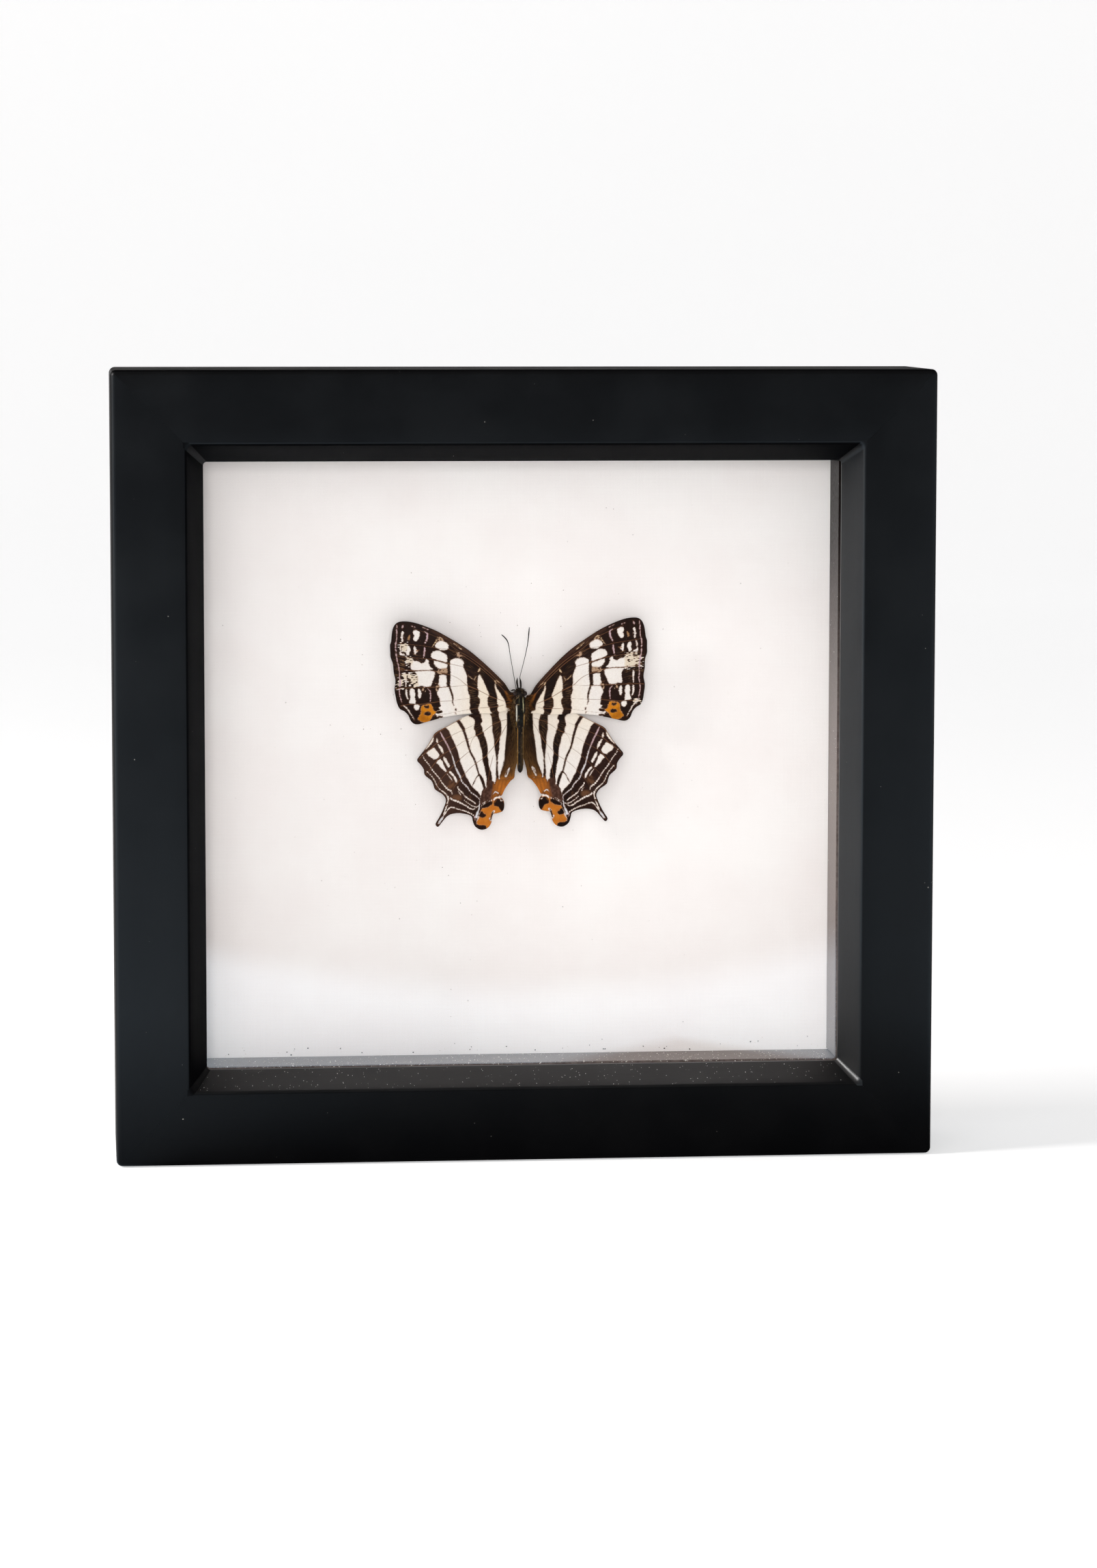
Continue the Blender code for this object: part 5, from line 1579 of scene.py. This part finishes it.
def flakes(name, centres, sizes, colors, slot, flat_axis, seed):
    """Make small irregular flat grains, each a closed eight-sided crumb."""
    random = np.random.default_rng(seed)
    vertices = []
    faces = []
    for (across, depth, up), size in zip(centres, sizes):
        turn = random.uniform(0, math.tau)
        shape = []
        for k in range(4):
            angle = turn + math.tau * k / 4 + random.uniform(-0.3, 0.3)
            reach = size * random.uniform(0.35, 0.6)
            shape.append((reach * math.cos(angle), reach * math.sin(angle), 0.0))
        thin = size * THICKNESS[flat_axis]
        shape += [(0.0, 0.0, thin), (0.0, 0.0, -thin)]
        base = len(vertices)
        for a, b, c in shape:
            vertices.append(place(across + a, up + b, depth - c) if flat_axis == "depth"
                            else place(across + a, up + c, depth + b))
        for k in range(4):
            after = (k + 1) % 4
            faces.append((base + k, base + after, base + 4))
            faces.append((base + after, base + k, base + 5))
    item = add_shell(name, vertices, faces, speck_material(name, *colors), smooth=False)
    add_piece(item, slot)


def make_loose_scales(random):
    """Scatter loose wing scales on the board, and more at its foot."""
    angle = random.uniform(0, math.tau, LOOSE_SCALES)
    reach = 12 + np.abs(random.normal(0, 27, LOOSE_SCALES))
    board = rows_of(reach * np.cos(angle), SCALES_DEPTH, 6 + reach * np.sin(angle))
    board = board[np.all(np.abs(board[:, [0, 2]]) < BOARD_LIMITS, axis=1)]
    flakes("loose_scales", board, random.uniform(0.06, 0.21, len(board)),
           ((120, 100, 84), (60, 44, 34)), "wing_scales", "depth", 23)
    foot = rows_of(random.uniform(-57, 57, FALLEN_SCALES), SCALES_DEPTH,
                   LEDGE_UP + np.abs(random.normal(0, 0.7, FALLEN_SCALES)) + 0.3)
    flakes("fallen_scales", foot, random.uniform(0.14, 0.36, FALLEN_SCALES),
           ((74, 58, 48), (34, 24, 18)), "wing_scales", "depth", 24)


def make_ledge_dust(random):
    """Settle pale dust on the bottom spacer and on the bottom rail's bevel."""
    ledge = rows_of(random.uniform(-58, 58, SETTLED_GRAINS),
                    random.uniform(LIP_DEPTH + 1.2, 19.0, SETTLED_GRAINS), LEDGE_UP + 0.03)
    flakes("settled_dust", ledge, random.uniform(0.10, 0.34, SETTLED_GRAINS),
           ((240, 236, 230), (188, 180, 172)), "dark_spacer", "up", 29)
    share = random.uniform(0.08, 0.96, BEVEL_GRAINS)
    inward = FACE_WIDTH + (LIP_REACH - FACE_WIDTH) * share
    slope = rows_of(random.uniform(-1, 1, BEVEL_GRAINS) * (HALF_WIDTH - inward - 0.8),
                    LIP_DEPTH * share, inward - HALF_HEIGHT + 0.01)
    flakes("bevel_dust", slope, random.uniform(0.07, 0.21, BEVEL_GRAINS),
           ((226, 224, 220), (150, 148, 144)), "black_lacquer", "up", 37)


def make_pane_dust(random):
    """Settle pale dust along the pane's lower, right and left edges."""
    edge = random.choice(3, PANE_GRAINS, p=[0.55, 0.3, 0.15])
    run = random.uniform(-56, 56, PANE_GRAINS)
    inset = np.abs(random.normal(0, 2.2, PANE_GRAINS)) + 0.3
    across = np.choose(edge, [run, HALF_OPENING - inset, inset - HALF_OPENING])
    up = np.where(edge == 0, inset - HALF_OPENING_UP,
                  np.clip(run, -HALF_OPENING_UP, HALF_OPENING_UP))
    pane = rows_of(across, PANE_DUST_DEPTH, up)
    pane = pane[(np.abs(across) < HALF_OPENING - 0.2) & (np.abs(up) < HALF_OPENING_UP - 0.2)]
    flakes("pane_dust", pane, random.uniform(0.05, 0.16, len(pane)),
           ((236, 234, 230), (204, 200, 194)), "clear_glass", "depth", 31)


def make_dust():
    """Scatter loose wing scales and pale dust."""
    random = np.random.default_rng(19)
    make_loose_scales(random)
    make_ledge_dust(random)
    make_pane_dust(random)


# ---------------------------------------------------------------- studio

# How much the floor gives off to plain rays, the strength of its patch in the glass, and the
# linear colours of both.
STAGE_GLOW = 0.49
VEIL_GLOW = 0.95
STAGE_TINT = (0.97, 0.985, 1.0, 1.0)
VEIL_TINT = (0.68, 0.86, 1.0, 1.0)
# Outline of that patch, in millimetres: the slope and start of its near edges, and the middle,
# bend and start of its curved far edge.
VEIL_LEFT = (1.07, 94.0)
VEIL_RIGHT = (-1.19, 197.0)
VEIL_MIDDLE = 25.0
VEIL_BEND = -0.0118
VEIL_FAR = -214.0
# Brightness of the surround, for plain rays and in reflections.
SURROUND = 0.29
MIRRORED_SURROUND = 0.09
# Lamps: name, azimuth, elevation, distance, size, power, colour, whether reflections show it.
LAMPS = [
    ("window", -77, 24, 1.3, 0.35, 16.0, (1.0, 0.99, 0.98), True),
    ("key", -22, 24, 1.3, 0.6, 2.4, (1.0, 0.99, 0.98), False),
    ("front_fill", -4, 6, 1.5, 0.4, 9.7, (1.0, 0.99, 0.985), False),
]


def floor_material():
    """Pale matt floor. Glossy surfaces see it dark but for one bright patch before the frame."""
    shade = Shade("studio_floor")
    plain = shade.coordinates()
    base = shade.mix(shade.noise(plain, 0.004, 2.0), (230, 229, 228), (226, 225, 224))
    across, ahead = shade.node("SeparateXYZ", Vector=plain).outputs[:2]
    left_edge = shade.plus(shade.math("MULTIPLY_ADD", across, *VEIL_LEFT), ahead)
    right_edge = shade.plus(shade.math("MULTIPLY_ADD", across, *VEIL_RIGHT), ahead)
    near_patch = shade.math("MINIMUM", left_edge, right_edge)
    offset = shade.math("SUBTRACT", across, VEIL_MIDDLE)
    bend = shade.times(shade.times(offset, offset), VEIL_BEND)
    far_edge = shade.math("SUBTRACT", ahead, shade.plus(bend, VEIL_FAR))
    bright = shade.times(shade.ramp(near_patch, -9.0, 9.0, 1.0, 0.0),
                         shade.ramp(far_edge, -34.0, 34.0))
    bright = shade.times(bright, shade.ramp(ahead, -900.0, -650.0))
    in_front = shade.ramp(ahead, -20.0, 0.0, 1.0, 0.0)
    mirrored = shade.mix(bright, (27, 27, 28), (214, 236, 255))
    mirrored = shade.mix(in_front, base, mirrored)
    glossy_ray = shade.node("LightPath").outputs["Is Glossy Ray"]
    sheen = shade.times(bright, shade.times(in_front, VEIL_GLOW))
    glow = shade.node("Mix", in0=glossy_ray, in2=STAGE_GLOW, in3=sheen).outputs[0]
    return shade.principled(Base_Color=shade.mix(glossy_ray, base, mirrored), Roughness=0.9,
                            Specular_IOR_Level=0.1, Emission_Strength=glow,
                            Emission_Color=shade.mix(glossy_ray, STAGE_TINT, VEIL_TINT))


def make_stage():
    """Pale floor that rises into a backdrop."""
    half, front, turn_y, height, radius = 2.6, -4.2, 1.5, 2.6, 0.7
    profile = [(front, 0.0), (turn_y, 0.0)]
    profile += [(turn_y + radius * math.sin(a), radius * (1 - math.cos(a)))
                for a in np.linspace(0, math.pi / 2, 12)[1:]]
    profile.append((turn_y + radius, height))
    vertices = [(x, y, z - 0.0002) for y, z in profile for x in (-half, half)]
    faces = [(2 * k, 2 * k + 1, 2 * k + 3, 2 * k + 2) for k in range(len(profile) - 1)]
    add_mesh("studio_floor", vertices, faces, floor_material())


def add_light(name, azimuth, elevation, distance, size, power, color, mirrored):
    """Add a soft square lamp aimed at the frame's middle, at angles in degrees."""
    a, e = math.radians(azimuth), math.radians(elevation)
    away = Vector((math.sin(a) * math.cos(e), -math.cos(a) * math.cos(e), math.sin(e)))
    data = bpy.data.lights.new(name, "AREA")
    data.size = size
    data.energy = power
    data.color = color
    item = bpy.data.objects.new(name, data)
    item.location = Vector((0.0, 0.0, MIDDLE_Z)) + away * distance
    item.rotation_mode = "QUATERNION"
    item.rotation_quaternion = (-away).to_track_quat("-Z", "Y")
    item.visible_glossy = mirrored
    bpy.context.scene.collection.objects.link(item)


def make_studio():
    """Light the object softly from the upper left, with a pale surround."""
    world = bpy.data.worlds.new("studio")
    world.use_nodes = True
    tree = world.node_tree
    surround = tree.nodes["Background"]
    surround.inputs["Color"].default_value = (1.0, 0.972, 0.968, 1.0)
    dimmer = tree.nodes.new("ShaderNodeMapRange")
    dimmer.inputs["To Min"].default_value = SURROUND
    dimmer.inputs["To Max"].default_value = MIRRORED_SURROUND
    tree.links.new(tree.nodes.new("ShaderNodeLightPath").outputs["Is Glossy Ray"],
                   dimmer.inputs["Value"])
    tree.links.new(dimmer.outputs[0], surround.inputs["Strength"])
    bpy.context.scene.world = world
    for lamp in LAMPS:
        add_light(*lamp)


# Viewpoint, a little left of and above the frame's axis: metres from the middle of the frame's
# face, and turn in degrees.
CAMERA_FROM_MIDDLE = (-0.0812, -0.8731, 0.0904)
CAMERA_TURN = (83.928, -0.055, -5.562)
LENS = 109.9


def make_camera():
    """Set up the camera."""
    data = bpy.data.cameras.new("camera")
    data.sensor_width = 36.0
    data.lens = LENS
    data.clip_start = 0.01
    data.clip_end = 20.0
    item = bpy.data.objects.new("camera", data)
    across, ahead, up = CAMERA_FROM_MIDDLE
    item.location = (across, FRONT_Y + ahead, MIDDLE_Z + up)
    item.rotation_euler = [math.radians(a) for a in CAMERA_TURN]
    bpy.context.scene.collection.objects.link(item)
    bpy.context.scene.camera = item


def main():
    """Build everything."""
    make_frame()
    make_wings()
    skin = fur_material("insect_skin", 0.42)
    make_body(skin, fur_material("insect_hair", 0.6))
    make_limbs(skin)
    make_eyes()
    dress("glue_dab", glue_material())
    make_dust()
    make_stage()
    make_studio()
    make_camera()
    bpy.context.scene.view_settings.view_transform = "Standard"


main()
